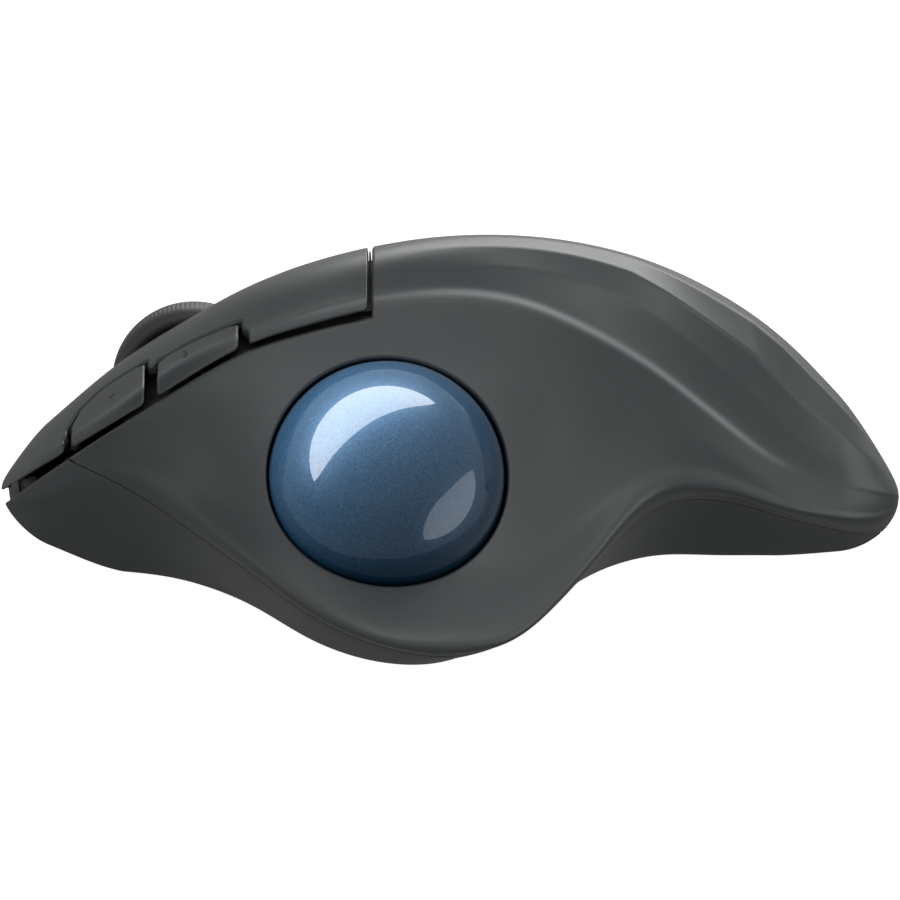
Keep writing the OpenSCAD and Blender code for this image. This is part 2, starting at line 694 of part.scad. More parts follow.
module usb_receiver() {
    p = receiver_at;
    color("#1b1c1e") difference() {
        union() {
            box(p + [12, 0, 0], p + [19, 6, 13]);
            box(p + [0, 0.7, 0.5], p + [12.5, 5.3, 12.5]);
        }
        box(p + [-1, 1.2, 1], p + [9, 3, 12]);
    }
}
module power_switch() {
    color("#202224") difference() {
        box([power_at[0] - 4, power_at[1] - 2.8, floor_z + wall + 0.1],
            [power_at[0] + 6.6, power_at[1] + 2.8, board_z]);
        box([power_at[0] - 1, power_at[1] - 0.9, 0], [power_at[0] + 4.4, power_at[1] + 0.9, 4.5]);
    }
}
module power_slider() {
    color("#7fae3c") difference() {
        union() {
            box([power_at[0] - 2.4, power_at[1] - 1.7, floor_z + 0.3],
                [power_at[0] + 1.8, power_at[1] + 1.7, floor_z + wall - 0.1]);
            box([power_at[0] - 0.7, power_at[1] - 0.6, floor_z + 1],
                [power_at[0] + 0.5, power_at[1] + 0.6, 4.2]);
        }
        for (i = [-1 : 1]) box([power_at[0] - 0.5 + i, power_at[1] - 3, 0],
            [power_at[0] - 0.1 + i, power_at[1] + 3, floor_z + 0.6]);
    }
}
module connect_switch() {
    color("#202224") box([connect_at[0] - 2.2, connect_at[1] - 2.2, 3.9],
        [connect_at[0] + 2.2, connect_at[1] + 2.2, board_z]);
}
module connect_button() {
    color("#3b3d40") translate([connect_at[0], connect_at[1], floor_z + 0.3])
        cylinder(h = 2, r = connect_r);
}
module status_led() {
    color("#9bd08a") translate([guide_at[0], guide_at[1], cell_c[2] + 7.4])
        box([-1, -1, 0], [1, 1, 0.8]);
}
module light_guide() {
    z = cell_c[2] + 8.5;
    color("#dfe5e8") translate([guide_at[0], guide_at[1], z]) cylinder(h = 43.2 - z, r = guide_r);
}

// ---- Fasteners and feet ----
module case_screws() {
    head = 1.4;
    color("#8d9094") for (p = post_xy) translate([p[0], p[1], 0]) {
        translate([0, 0, floor_z + 2 - head]) cylinder(h = head, r = 1.9);
        translate([0, 0, floor_z + 2]) cylinder(h = screw_end_z - floor_z - 2, r = screw_r);
    }
}
module feet() {
    color("#101112") for (f = feet_at)
        translate([f[0], f[1], 0]) rotate([0, 0, f[3]]) linear_extrude(height = floor_z) union() {
            square([f[2] - foot_w, foot_w], center = true);
            for (side = [-1, 1]) translate([side * (f[2] - foot_w) / 2, 0]) circle(d = foot_w);
        }
}

upper_case();
lower_case();
key_frame();
left_key();
right_key();
back_button();
forward_button();
wheel_hub();
wheel_tyre();
wheel_carrier();
wheel_bracket();
wheel_encoder();
trackball();
ball_cup();
support_beads();
cup_screws();
sensor_housing();
sensor_lens();
sensor_board();
sensor_ribbon();
main_board();
board_screws();
radio_chip();
left_switch();
right_switch();
wheel_switch();
left_plunger();
right_plunger();
wheel_plunger();
side_board();
side_switches();
battery_tray();
aa_cell();
contact_spring();
contact_plate();
battery_door();
usb_receiver();
power_switch();
power_slider();
connect_switch();
connect_button();
status_led();
light_guide();
case_screws();
feet();
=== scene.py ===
"""Thumb-operated trackball mouse: the visible shells, ball, wheel and small parts, and their materials.

Shapes are worked out in millimetres and turned into metres when a mesh is made.
"""
import json
import math

import bmesh
import bpy
import numpy as np
from mathutils import Matrix, Vector
from mathutils.bvhtree import BVHTree

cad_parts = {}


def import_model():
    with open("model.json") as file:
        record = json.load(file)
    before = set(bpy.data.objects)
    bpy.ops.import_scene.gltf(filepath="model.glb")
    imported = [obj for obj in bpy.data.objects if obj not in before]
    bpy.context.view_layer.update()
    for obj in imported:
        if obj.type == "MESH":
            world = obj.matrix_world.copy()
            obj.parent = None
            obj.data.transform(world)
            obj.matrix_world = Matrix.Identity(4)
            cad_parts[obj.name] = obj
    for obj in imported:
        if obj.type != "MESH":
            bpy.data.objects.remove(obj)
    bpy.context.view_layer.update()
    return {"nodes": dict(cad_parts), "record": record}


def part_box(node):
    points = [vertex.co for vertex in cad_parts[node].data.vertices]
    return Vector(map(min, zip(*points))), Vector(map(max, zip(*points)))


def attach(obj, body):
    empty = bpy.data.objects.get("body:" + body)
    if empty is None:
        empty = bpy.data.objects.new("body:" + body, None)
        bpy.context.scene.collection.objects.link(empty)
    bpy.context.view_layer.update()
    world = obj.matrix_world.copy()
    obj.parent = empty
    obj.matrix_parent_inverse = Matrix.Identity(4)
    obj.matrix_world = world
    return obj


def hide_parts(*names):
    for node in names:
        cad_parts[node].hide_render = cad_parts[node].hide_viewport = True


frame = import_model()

MM = 0.001


def middle(node):
    """Centre of a CAD node's box in millimetres, rounded because its round faces have facets."""
    low, high = (np.array(c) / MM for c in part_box(node))
    return np.round((low + high) / 2, 2)


def radius_of(node):
    """Half the length of a CAD node's box along X in millimetres, rounded as well."""
    low, high = (np.array(c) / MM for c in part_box(node))
    return float(round((high[0] - low[0]) / 2, 1))


# ---- Design curves of the outer skin: one [y, z] every 10 mm from x = -60 to x = 60 ----
FIRST_X, PITCH_X = -60.0, 10.0
BASE_LEFT = [[-13.5, 5], [-14.5, 1], [-17, 1], [-24, 1], [-35.5, 1], [-41.5, 1], [-41, 1],
             [-31, 1], [-16.5, 1], [-10, 1], [-10, 1], [-10, 1], [-11, 2.5]]
SEAM_LINE = [[-14.3, 12], [-17.5, 17.5], [-25, 15], [-36, 13.5], [-44, 10], [-48, 7.5],
             [-47.5, 5.5], [-43.5, 6.5], [-31, 10], [-19.5, 14.5], [-16, 14], [-15.5, 10.5], [-14, 7]]
RIDGE_LINE = [[-14.5, 14], [-17.5, 20.3], [-25.5, 18], [-37, 16], [-45, 12], [-49.5, 9.5],
              [-49, 8], [-46, 8], [-33.5, 12], [-21.5, 18], [-19.5, 18], [-19.5, 14.5], [-17, 11]]
PANEL_LOW = [[-14.2, 16], [-17.2, 22], [-23.5, 21.5], [-31, 21], [-35, 19.2], [-37.5, 16.3],
             [-37, 15.7], [-34.5, 15], [-26, 17.5], [-18.8, 22], [-18, 20.5], [-18.7, 15.7],
             [-16.5, 12.4]]
PANEL_MID = [[-13.8, 17.5], [-16.8, 24.5], [-20.4, 27.5], [-22.5, 29], [-25, 27.6],
             [-26.5, 25.9], [-26, 25.2], [-24.5, 24.3], [-19.5, 24.5], [-16, 26.5], [-16.9, 22.8],
             [-17.7, 17], [-15.9, 13.8]]
PANEL_HIGH = [[-13, 18.8], [-16.4, 27.2], [-16.6, 33.2], [-16.5, 35.4], [-16, 36.2],
              [-16, 35.4], [-15.5, 34.8], [-15.5, 34.8], [-13.8, 33], [-13.4, 31], [-15.4, 25],
              [-16.6, 18.3], [-15.2, 15.2]]
CREASE_LINE = [[-11.5, 19.5], [-14.2, 28.8], [-12.8, 36], [-11.5, 40], [-10, 43.2],
               [-8, 44.5], [-7, 44.8], [-8, 44], [-9.5, 40], [-11.5, 34.5], [-14, 27], [-15.5, 19.5],
               [-14.5, 16.5]]
CREST_LINE = [[-3, 19.6], [-2, 28.8], [-1.5, 35.8], [-1, 41.3], [0, 44.8], [1, 46.8],
              [2, 47.7], [2, 47.7], [1, 46.6], [-1, 44.3], [-4, 40.3], [-6, 34], [-8, 23.5]]
SHOULDER = [[6, 14.4], [8, 22.5], [10, 28.7], [14, 33.3], [17, 36], [20, 37], [21, 37.8],
            [21, 37.8], [19.5, 37.2], [16.5, 36], [12.5, 33.2], [7, 28], [1, 20]]
OUTER_SIDE = [[11, 11], [17, 15.5], [23, 20], [29, 23.5], [34, 25], [37, 25.5], [38.5, 25.5],
              [38.5, 25.5], [36.5, 25], [32.5, 24], [26.5, 22], [18, 19], [6.5, 15]]
WIDEST = [[13.5, 7], [22, 8.5], [32, 9], [39, 9], [44, 9.5], [47.5, 9.5], [49.5, 9.5],
          [50, 9.5], [48.5, 9.5], [44.5, 9.5], [37.5, 9], [27, 8.5], [10.5, 8]]
BASE_RIGHT = [[10, 3.5], [19, 1], [29, 1], [36, 1], [41, 1], [44.5, 1], [46.5, 1], [47, 1],
              [45.5, 1], [41.5, 1], [34.5, 1], [24, 1], [7.5, 2.5]]
DESIGN = np.array([BASE_LEFT, SEAM_LINE, RIDGE_LINE, PANEL_LOW, PANEL_MID, PANEL_HIGH,
                   CREASE_LINE, CREST_LINE, SHOULDER, OUTER_SIDE, WIDEST, BASE_RIGHT], float)
# Where three of the curves stand in DESIGN
SEAM, CREASE, WIDE = 1, 6, 10
# The two tips, and how far from each the skin rounds off
FRONT_TIP, FRONT_ROUND = np.array([-67, -8, 11.5]), 7.0
TAIL_TIP, TAIL_ROUND = np.array([67, -10.5, 11.5]), 9.0
FLOOR_Z = 1.0

# ---- Flutes of the palm: bands of nearly flat section that run from the hump to the tail ----
FLUTES = 6
# The first flute's distance from the crease, as [x, distance]
FIRST_FLUTE = [[-10, 3.5], [8.5, 5.5], [27, 8.3], [45, 7.6], [53, 4.0], [60, 1.5], [67, 1.0]]
# The width of a flute at the hump, and how much it grows per mm behind x = 0 and x = 30
FLUTE_WIDTH, FLUTE_GROWTH, TAIL_GROWTH, TAIL_X = 4.0, 0.02, 0.07, 30
# Over a section shorter than this from crease to widest point, the flutes get narrower
FULL_SECTION = 62
FLUTES_BEGIN, FLUTES_END = (-8, 12), (60, 66)

# ---- Mesh of the skin: rings along it, and columns round each ring ----
RINGS = 330
# Columns to the left of the crease, one number for each stretch between two curves; then up to
# the first flute, on each flute, on to the widest point, down to the base, and across the base
LOW_COLUMNS = [16, 10, 26, 26, 24, 24]
CREST_COLUMNS, FLUTE_COLUMNS, REST_COLUMNS = 20, 9, 70
SIDE_COLUMNS, BASE_COLUMNS = 16, 170
# Steps between two curves where lengths along a section are measured
FINE_STEPS = 120

# ---- Cuts through the skin ----
# The cuts in the thumb panel run in at this slant, and the camera looks down along it too
SLANT = math.radians(30)
TOWARDS = np.array([0, -math.cos(SLANT), math.sin(SLANT)])
UPWARDS = np.array([0, math.sin(SLANT), math.cos(SLANT)])
# Edges of the keys and of the case below them, as [x, height]: the height is measured along
# UPWARDS over the thumb panel, and straight up on the right
KEY_EDGE = [[-70, 3.8], [-60, 9.7], [-45, 18.6], [-30, 27.2], [-20, 30.4], [-12.3, 32.4]]
CASE_EDGE = [[-70, 1.1], [-60, 8.2], [-45, 17.8], [-30, 26.3], [-20, 29.4], [-11.6, 31.3]]
KEY_EDGE_RIGHT = [[-70, 9.5], [-60, 12], [-45, 16.5], [-30, 21], [-12.3, 24.5]]
CASE_EDGE_RIGHT = [[-70, 7.6], [-60, 10.5], [-45, 15.4], [-30, 19.9], [-11.6, 23.5]]
# Plan outlines of the side buttons and of the notch that they sit in, as [x, y]
FORWARD_TOP = [[-56.4, -30], [-56.4, -9.5], [-55, -7.5], [-52, -6.6], [-45.4, -7.4], [-45.4, -30]]
BACK_TOP = [[-43.5, -30], [-43.5, -9.2], [-31.4, -8.4], [-31.4, -30]]
NOTCH = [[-57.5, -30], [-57.5, -11.5], [-56.4, -9.5], [-52, -9], [-43.6, -9.4], [-31.4, -8.9],
         [-29.8, -11], [-29.8, -30]]
SIDE_GAP, KEY_GAP = 0.38, 0.6
# The seam's lift above its curve, its height on the right, where it ends at the front, its width
SEAM_RISE, SEAM_RIGHT_Z, SEAM_FRONT_X, SEAM_GAP = 0.3, 7.0, -57.0, 0.15
# On the left, the seam climbs at this slope ahead of this place
CLIMB_X, CLIMB = -41.0, 0.285
BALL_C, BALL_R = middle("trackball"), radius_of("trackball")
RING_R, RING_TILT = BALL_R + 0.4, (math.radians(41.3), math.radians(6))
WHEEL_C, WHEEL_R, LEAN = middle("wheel_hub"), radius_of("wheel_tyre"), math.radians(13)
# Half length and half width of the wheel's slot, and the radius of its corners
SLOT, SLOT_CORNER = (WHEEL_R + 1.2, 4.3), 2.0
# How far behind the ball's centre, and below the wheel's, their openings still cut
RING_DEPTH, SLOT_DEPTH = 6, 4
WALL, KEY_WALL = 1.6, 1.3
# Openings of the underside. The power slider's slot is given by its centre and half sizes
DOOR = [[-20, 7], [40, 7], [40, 29], [30, 35], [-20, 35]]
DOOR_GAP = 0.25
SCREWS_AT, SCREW_HOLE_R = [[-30, -19], [-24, 30], [22.3, -8.4], [44, -4]], 2.2
POWER_SLOT_AT, POWER_SLOT = middle("power_slider")[:2] + [1.6, 0], (4.3, 2.0)
CONNECT_AT, CONNECT_HOLE_R = middle("connect_button")[:2], radius_of("connect_button") + 0.2
GUIDE_AT, GUIDE_HOLE_R = middle("light_guide")[:2], radius_of("light_guide") + 0.15
# The cuts in the underside stay below this height, and the light guide's hole above this one
UNDERSIDE_TOP, GUIDE_HOLE_Z = 2.5, 20
# Stands for a distance to a cut that isn't near
FAR = 50.0


# ---- Small helpers ----
def unit(v, axis=-1):
    return v / np.maximum(np.linalg.norm(v, axis=axis, keepdims=True), 1e-9)


def smoothstep(a, b, x):
    t = np.clip((x - a) / (b - a), 0, 1)
    return t * t * (3 - 2 * t)


def smooth_min(a, b, k):
    h = np.clip(0.5 + 0.5 * (b - a) / k, 0, 1)
    return b * (1 - h) + a * h - k * h * (1 - h)


def cubic(t, a, b, slope_a, slope_b):
    """A cubic from a to b at the shares t, with these slopes at its two ends."""
    return ((2 * t**3 - 3 * t**2 + 1) * a + (t**3 - 2 * t**2 + t) * slope_a
            + (3 * t**2 - 2 * t**3) * b + (t**3 - t**2) * slope_b)


def turn_x(a):
    c, s = math.cos(a), math.sin(a)
    return np.array([[1, 0, 0], [0, c, -s], [0, s, c]])


def turn_y(a):
    c, s = math.cos(a), math.sin(a)
    return np.array([[c, 0, s], [0, 1, 0], [-s, 0, c]])


RING = turn_y(RING_TILT[1]) @ turn_x(RING_TILT[0])
WHEEL = turn_x(-LEAN)


# ---- The skin ----
def on_curve(c, x):
    """[y, z] of one design curve at each x: a cubic between knots, straight beyond the ends."""
    last = len(c) - 1
    i = np.arange(last + 1)
    hi, lo = np.minimum(i + 1, last), np.maximum(i - 1, 0)
    m = (c[hi] - c[lo]) / (PITCH_X * (hi - lo))[:, None]
    u = (x - FIRST_X) / PITCH_X
    k = np.clip(np.floor(u).astype(int), 0, last - 1)
    t = (u - k)[:, None]
    mid = cubic(t, c[k], c[k + 1], PITCH_X * m[k], PITCH_X * m[k + 1])
    before = c[0] + m[0] * PITCH_X * u[:, None]
    after = c[last] + m[last] * PITCH_X * (u - last)[:, None]
    return np.where(u[:, None] < 0, before, np.where(u[:, None] > last, after, mid))


def fair_curves(sigma=2.5, step=0.25):
    """The design curves at a fine pitch, with the unevenness of the listed knots smoothed away."""
    x = np.arange(-80, 80 + step, step)
    reach = int(4 * sigma / step)
    weight = np.exp(-0.5 * (np.arange(-reach, reach + 1) * step / sigma) ** 2)
    weight /= weight.sum()
    out = []
    for c in DESIGN:
        p = on_curve(c, x)
        pad = np.pad(p, ((reach, reach), (0, 0)), mode="edge")
        out.append(np.stack([np.convolve(pad[:, j], weight, "valid") for j in (0, 1)], 1))
    return x, np.array(out)


FINE_X, FINE = fair_curves()


def rounding(d, length):
    """0 at a tip, rising as a quarter circle does to 1 at this length from it."""
    return np.sqrt(np.maximum(1 - (1 - np.clip(d / length, 0, 1)) ** 2, 0))


def knots(x):
    """Section knots at each x, drawn in to the two tips: an array (len(x), 12, 2)."""
    p = np.stack([np.stack([np.interp(x, FINE_X, c[:, 0]), np.interp(x, FINE_X, c[:, 1])], 1)
                  for c in FINE], 1)
    p[..., 1] = np.maximum(p[..., 1], FLOOR_Z)
    f = rounding(x - FRONT_TIP[0], FRONT_ROUND)[:, None, None]
    t = rounding(TAIL_TIP[0] - x, TAIL_ROUND)[:, None, None]
    a, b = FRONT_TIP[1:], TAIL_TIP[1:]
    return b + (a + (p - a) * f - b) * t


def shares(n):
    """n even shares of a stretch, from its start to just short of its end."""
    return np.arange(n) / n


def stretch(p0, p1, p2, p3, s):
    """A centripetal curve from p1 to p2 at the shares s: (n, len(s), 2)."""
    def gap(a, b):
        return np.sqrt(np.maximum(np.linalg.norm(b - a, axis=-1), 1e-6))[:, None, None]
    t1 = gap(p0, p1)
    t2 = t1 + gap(p1, p2)
    t3 = t2 + gap(p2, p3)
    p0, p1, p2, p3 = (p[:, None, :] for p in (p0, p1, p2, p3))
    t = t1 + (t2 - t1) * np.asarray(s)[None, :, None]

    def mix(p, q, a, b):
        return ((b - t) * p + (t - a) * q) / (b - a)
    a1, a2, a3 = mix(p0, p1, 0, t1), mix(p1, p2, t1, t2), mix(p2, p3, t2, t3)
    return mix(mix(a1, a2, 0, t2), mix(a2, a3, t1, t3), t1, t2)


def crease_strength(x):
    """How sharply the palm folds into the thumb panel: strong along the hump, gone at the tail."""
    return smoothstep(-63, -56, x) * (1 - smoothstep(36, 58, x))


def span(p, i, s, x):
    """The section between knots i and i + 1. Beside the crease it is part corner, part curve."""
    n = p.shape[1] - 1
    before = 2 * p[:, 0] - p[:, 1] if i == 0 else p[:, i - 1]
    after = 2 * p[:, n] - p[:, n - 1] if i == n - 1 else p[:, i + 2]
    smooth = stretch(before, p[:, i], p[:, i + 1], after, s)
    if i == CREASE - 1:
        corner = stretch(before, p[:, i], p[:, i + 1], 2 * p[:, i + 1] - p[:, i], s)
    elif i == CREASE:
        corner = stretch(2 * p[:, i] - p[:, i + 1], p[:, i], p[:, i + 1], after, s)
    else:
        return smooth
    k = crease_strength(x)[:, None, None]
    return smooth * (1 - k) + corner * k


def flute_edges(x, total):
    """Arc lengths from the crease to the edges of the flutes, at each x."""
    first = np.interp(x, *np.array(FIRST_FLUTE).T)
    width = FLUTE_WIDTH + FLUTE_GROWTH * np.maximum(x, 0) + TAIL_GROWTH * np.maximum(x - TAIL_X, 0)
    width = width * np.minimum(total / FULL_SECTION, 1)
    return first[:, None] + width[:, None] * np.arange(FLUTES + 1)[None, :]


def resample(points, s_new):
    """Each row of points at new arc lengths along it."""
    step = np.linalg.norm(np.diff(points, axis=1), axis=2)
    s = np.concatenate([np.zeros((len(points), 1)), np.cumsum(step, axis=1)], 1)
    return np.stack([np.stack([np.interp(n, a, p[:, j]) for j in (0, 1)], 1)
                     for n, a, p in zip(s_new, s, points)])


def fluted_side(p, x):
    """The section from the crease over the top to its widest point, with the palm's flutes."""
    fine = np.concatenate([span(p, i, shares(FINE_STEPS), x) for i in range(CREASE, WIDE)]
                          + [p[:, WIDE:WIDE + 1]], 1)
    total = np.linalg.norm(np.diff(fine, axis=1), axis=2).sum(1)
    edge = flute_edges(x, total)
    lower = shares(CREST_COLUMNS)[None, :] * edge[:, :1]
    bands = [edge[:, k:k + 1] + (edge[:, k + 1:k + 2] - edge[:, k:k + 1])
             * shares(FLUTE_COLUMNS)[None, :] for k in range(FLUTES)]
    rest = edge[:, -1:] + (total[:, None] - edge[:, -1:]) * np.linspace(0, 1, REST_COLUMNS + 1)
    out = resample(fine, np.concatenate([lower] + bands + [rest], 1))
    strength = smoothstep(*FLUTES_BEGIN, x) * (1 - smoothstep(*FLUTES_END, x))
    for k in range(FLUTES):
        a = CREST_COLUMNS + k * FLUTE_COLUMNS
        b = a + FLUTE_COLUMNS
        share = shares(FLUTE_COLUMNS)[None, :, None]
        ends = out[:, a:a + 1].copy(), out[:, b:b + 1].copy()
        chord = ends[0] * (1 - share) + ends[1] * share
        out[:, a:b] += (chord - out[:, a:b]) * strength[:, None, None]
    return out


def skin_grid():
    """The whole skin as a closed tube of rings: points (rings, columns, 3)."""
    u = np.arange(1, RINGS + 1) / (RINGS + 1)
    # partly even, and partly crowded towards the tips
    along = 0.7 * (1 - np.cos(math.pi * u)) / 2 + 0.3 * u
    x = FRONT_TIP[0] + (TAIL_TIP[0] - FRONT_TIP[0]) * along
    p = knots(x)
    left = [span(p, i, shares(n), x) for i, n in enumerate(LOW_COLUMNS)]
    under = span(p, WIDE, shares(SIDE_COLUMNS), x)
    share = shares(BASE_COLUMNS)[None, :, None]
    base = p[:, -1:] * (1 - share) + p[:, :1] * share
    # the top side ends on its widest point, which the next stretch starts with
    yz = np.concatenate(left + [fluted_side(p, x)[:, :-1], under, base], 1)
    yz = round_crease(yz, x)
    out = np.empty(yz.shape[:2] + (3,))
    out[..., 0] = x[:, None]
    out[..., 1:] = yz
    return out


def round_crease(yz, x):
    """Rounds the crease over about a millimetre to each side, so that it catches the light."""
    at, reach, passes = sum(LOW_COLUMNS), 9, 9
    share = np.exp(-(np.arange(-reach, reach + 1) / (reach / 2)) ** 4)[None, :, None]
    share = share * smoothstep(-60, -50, x)[:, None, None] * 0.5
    for _ in range(passes):
        part = yz[:, at - reach - 1:at + reach + 2]
        part[:, 1:-1] += ((part[:, :-2] + part[:, 2:]) / 2 - part[:, 1:-1]) * share
    return yz


def grid_normals(g, passes=40):
    """Outward normals of the tube of rings, and a smoothed copy of them for the inner walls."""
    along = np.gradient(g, axis=0)
    across = np.roll(g, -1, 1) - np.roll(g, 1, 1)
    n = unit(np.cross(along, across))
    s = n.copy()
    for _ in range(passes):
        s = (s + np.roll(s, 1, 1) + np.roll(s, -1, 1)) / 3
        s[1:-1] = (s[:-2] + s[1:-1] + s[2:]) / 3
    return n, unit(s)


def skin_mesh():
    """Points, normals, smoothed normals and triangles of the skin, closed at both tips."""
    g = skin_grid()
    n, s = grid_normals(g)
    rings, m = g.shape[:2]
    i, j = np.meshgrid(np.arange(rings - 1), np.arange(m), indexing="ij")
    a, b = i * m + j, i * m + (j + 1) % m
    c, d = a + m, b + m
    tris = np.concatenate([np.stack([a, c, b], -1).reshape(-1, 3),
                           np.stack([b, c, d], -1).reshape(-1, 3)])
    points = np.concatenate([g.reshape(-1, 3), [FRONT_TIP], [TAIL_TIP]])
    first, last = rings * m, rings * m + 1
    k = np.arange(m)
    front = np.stack([np.full(m, first), k, (k + 1) % m], 1)
    r = (rings - 1) * m
    tail = np.stack([np.full(m, last), r + (k + 1) % m, r + k], 1)
    normals = np.concatenate([n.reshape(-1, 3), [[-1, 0, 0]], [[1, 0, 0]]])
    soft = np.concatenate([s.reshape(-1, 3), [[-1, 0, 0]], [[1, 0, 0]]])
    tris = np.concatenate([tris, front, tail])
    # faces turn the same way as the normals
    e = np.cross(points[tris[:, 1]] - points[tris[:, 0]], points[tris[:, 2]] - points[tris[:, 0]])
    if (e * normals[tris[:, 0]]).sum() < 0:
        tris = tris[:, ::-1].copy()
    return points, normals, soft, tris


# ---- Signed distances to the cuts: positive inside the part ----
def edge_height(edge, x):
    """A smooth curve through the points of an edge, and its slope, at each x."""
    e = np.array(edge, float)
    m = np.gradient(e[:, 1], e[:, 0])
    k = np.clip(np.searchsorted(e[:, 0], x) - 1, 0, len(e) - 2)
    h = e[k + 1, 0] - e[k, 0]
    t = np.clip((x - e[k, 0]) / h, 0, 1)
    y = cubic(t, e[k, 1], e[k + 1, 1], h * m[k], h * m[k + 1])
    slope = (e[k + 1, 1] - e[k, 1]) / h
    return y, slope


def above(edge, x, height):
    """Distance above an edge, square to it."""
    y, slope = edge_height(edge, x)
    return (height - y) / np.sqrt(1 + slope**2)


def above_edges(left, right, p):
    """Distance above whichever edge of a pair is nearer: over the thumb panel, or on the right."""
    return np.minimum(above(left, p[:, 0], p @ UPWARDS), above(right, p[:, 0], p[:, 2]))


def key_region(p):
    """How far inside the outline that the two keys and the side buttons share."""
    d = above_edges(KEY_EDGE, KEY_EDGE_RIGHT, p)
    return smooth_min(d, KEY_EDGE[-1][0] - p[:, 0], 0.8)


def case_cutout(p):
    """How far inside the opening of the case that the keys fill."""
    return np.minimum(above_edges(CASE_EDGE, CASE_EDGE_RIGHT, p), CASE_EDGE[-1][0] - p[:, 0])


def polygon_distance(outline, p):
    """Signed distance in plan to a polygon, positive inside."""
    q = np.array(outline, float)
    best = np.full(len(p), 1e9)
    inside = np.zeros(len(p), bool)
    for a, b in zip(q, np.roll(q, -1, 0)):
        ab, ap = b - a, p[:, :2] - a
        t = np.clip((ap @ ab) / (ab @ ab), 0, 1)
        best = np.minimum(best, np.linalg.norm(ap - t[:, None] * ab, axis=1))
        crosses = (a[1] > p[:, 1]) != (b[1] > p[:, 1])
        at = a[0] + (p[:, 1] - a[1]) * (b[0] - a[0]) / (b[1] - a[1] if b[1] != a[1] else 1)
        inside ^= crosses & (p[:, 0] < at)
    return np.where(inside, best, -best)


def seam_height(p, lift):
    """How far a point lies above the seam between the two halves, or above one lifted from it."""
    x, (seam_y, seam_z) = p[:, 0], FINE[SEAM].T
    start = np.interp(CLIMB_X, FINE_X, seam_z)
    left_y = np.interp(x, FINE_X, seam_y) + 2
    left_z = np.where(x < CLIMB_X, start - CLIMB * (x - CLIMB_X), np.interp(x, FINE_X, seam_z))
    left_z = left_z + SEAM_RISE + lift
    right_z = SEAM_RIGHT_Z + SEAM_RISE + lift
    # from just inside the left curve to y = 30, the seam's surface slopes to its height on the right
    t = np.clip((p[:, 1] - left_y) / (30 - left_y), 0, 1)
    return p[:, 2] - (left_z * (1 - t) + right_z * t)


def ring_distance(p):
    """Distance outside the ball's round opening, on the side where it is open."""
    q = (p - BALL_C) @ RING
    d = np.hypot(q[:, 0], q[:, 1]) - RING_R
    return np.where(q[:, 2] > -RING_DEPTH, d, FAR)


def slot_distance(p):
    """Distance outside the wheel's slot, on the side where it is open."""
    q = (p - WHEEL_C) @ WHEEL
    d = np.abs(q[:, :2]) - np.array(SLOT) + SLOT_CORNER
    box = np.linalg.norm(np.maximum(d, 0), axis=1) + np.minimum(d.max(1), 0) - SLOT_CORNER
    return np.where(q[:, 2] > -SLOT_DEPTH, box, FAR)


def hole(at, r, p):
    """Distance outside an upright round hole."""
    return np.hypot(p[:, 0] - at[0], p[:, 1] - at[1]) - r


def upper_case_field(p):
    d = np.minimum(seam_height(p, 0), -case_cutout(p))
    d = np.minimum(d, ring_distance(p))
    d = np.minimum(d, np.where(p[:, 2] > GUIDE_HOLE_Z, hole(GUIDE_AT, GUIDE_HOLE_R, p), FAR))
    return np.minimum(d, p[:, 0] - SEAM_FRONT_X)


def lower_case_field(p):
    d = -np.minimum(seam_height(p, -SEAM_GAP), p[:, 0] - SEAM_FRONT_X)
    d = np.minimum(d, -case_cutout(p))
    under = [hole(at, SCREW_HOLE_R, p) for at in SCREWS_AT]
    under.append(hole(CONNECT_AT, CONNECT_HOLE_R, p))
    under.append((np.abs(p[:, :2] - POWER_SLOT_AT) - POWER_SLOT).max(1))
    under.append(-polygon_distance(DOOR, p) - DOOR_GAP)
    return np.where(p[:, 2] < UNDERSIDE_TOP, np.minimum(d, np.min(under, axis=0)), d)


def from_ends(outline, p):
    """Distance along X from the nearer end of a side button."""
    ends = [c[0] for c in outline]
    return np.minimum(p[:, 0] - min(ends), max(ends) - p[:, 0])


def button_hole(outline, p):
    """The opening round a side button: narrow along its top, wider at its ends and to the front."""
    wider = 0.12 * (1 - smoothstep(0.3, 1.8, from_ends(outline, p)))
    wider = wider + 0.2 * (1 - smoothstep(-56, -50, p[:, 0]))
    return polygon_distance(outline, p) + SIDE_GAP + wider


def key_field(side):
    """The left key for a side of -1, with its notch for the side buttons, or the right one for 1."""
    def field(p):
        q = (p - WHEEL_C) @ WHEEL
        d = smooth_min(key_region(p), side * q[:, 1] - KEY_GAP / 2, 0.5)
        d = smooth_min(d, slot_distance(p), 0.5)
        if side < 0:
            gap = np.maximum(button_hole(FORWARD_TOP, p), button_hole(BACK_TOP, p))
            notch = np.maximum(gap, polygon_distance(NOTCH, p))
            d = smooth_min(d, -notch, 0.6)
        return d
    return field


def button_field(outline):
    def field(p):
        return smooth_min(key_region(p), polygon_distance(outline, p), 0.9)
    return field


def button_radius(outline):
    """A soft edge at the notches and below, and a crisp one along the top of the button."""
    def radius(p):
        top = smoothstep(0.4, 1.6, from_ends(outline, p)) * smoothstep(1.0, 2.5, key_region(p))
        return 0.55 - 0.4 * top
    return radius


# ---- Cutting a part out of the skin ----
# Where a rounded edge gets a row of points, as shares of its radius
FILLET_STEPS = [0.0, 0.04, 0.14, 0.3, 0.5, 0.75, 1.0]


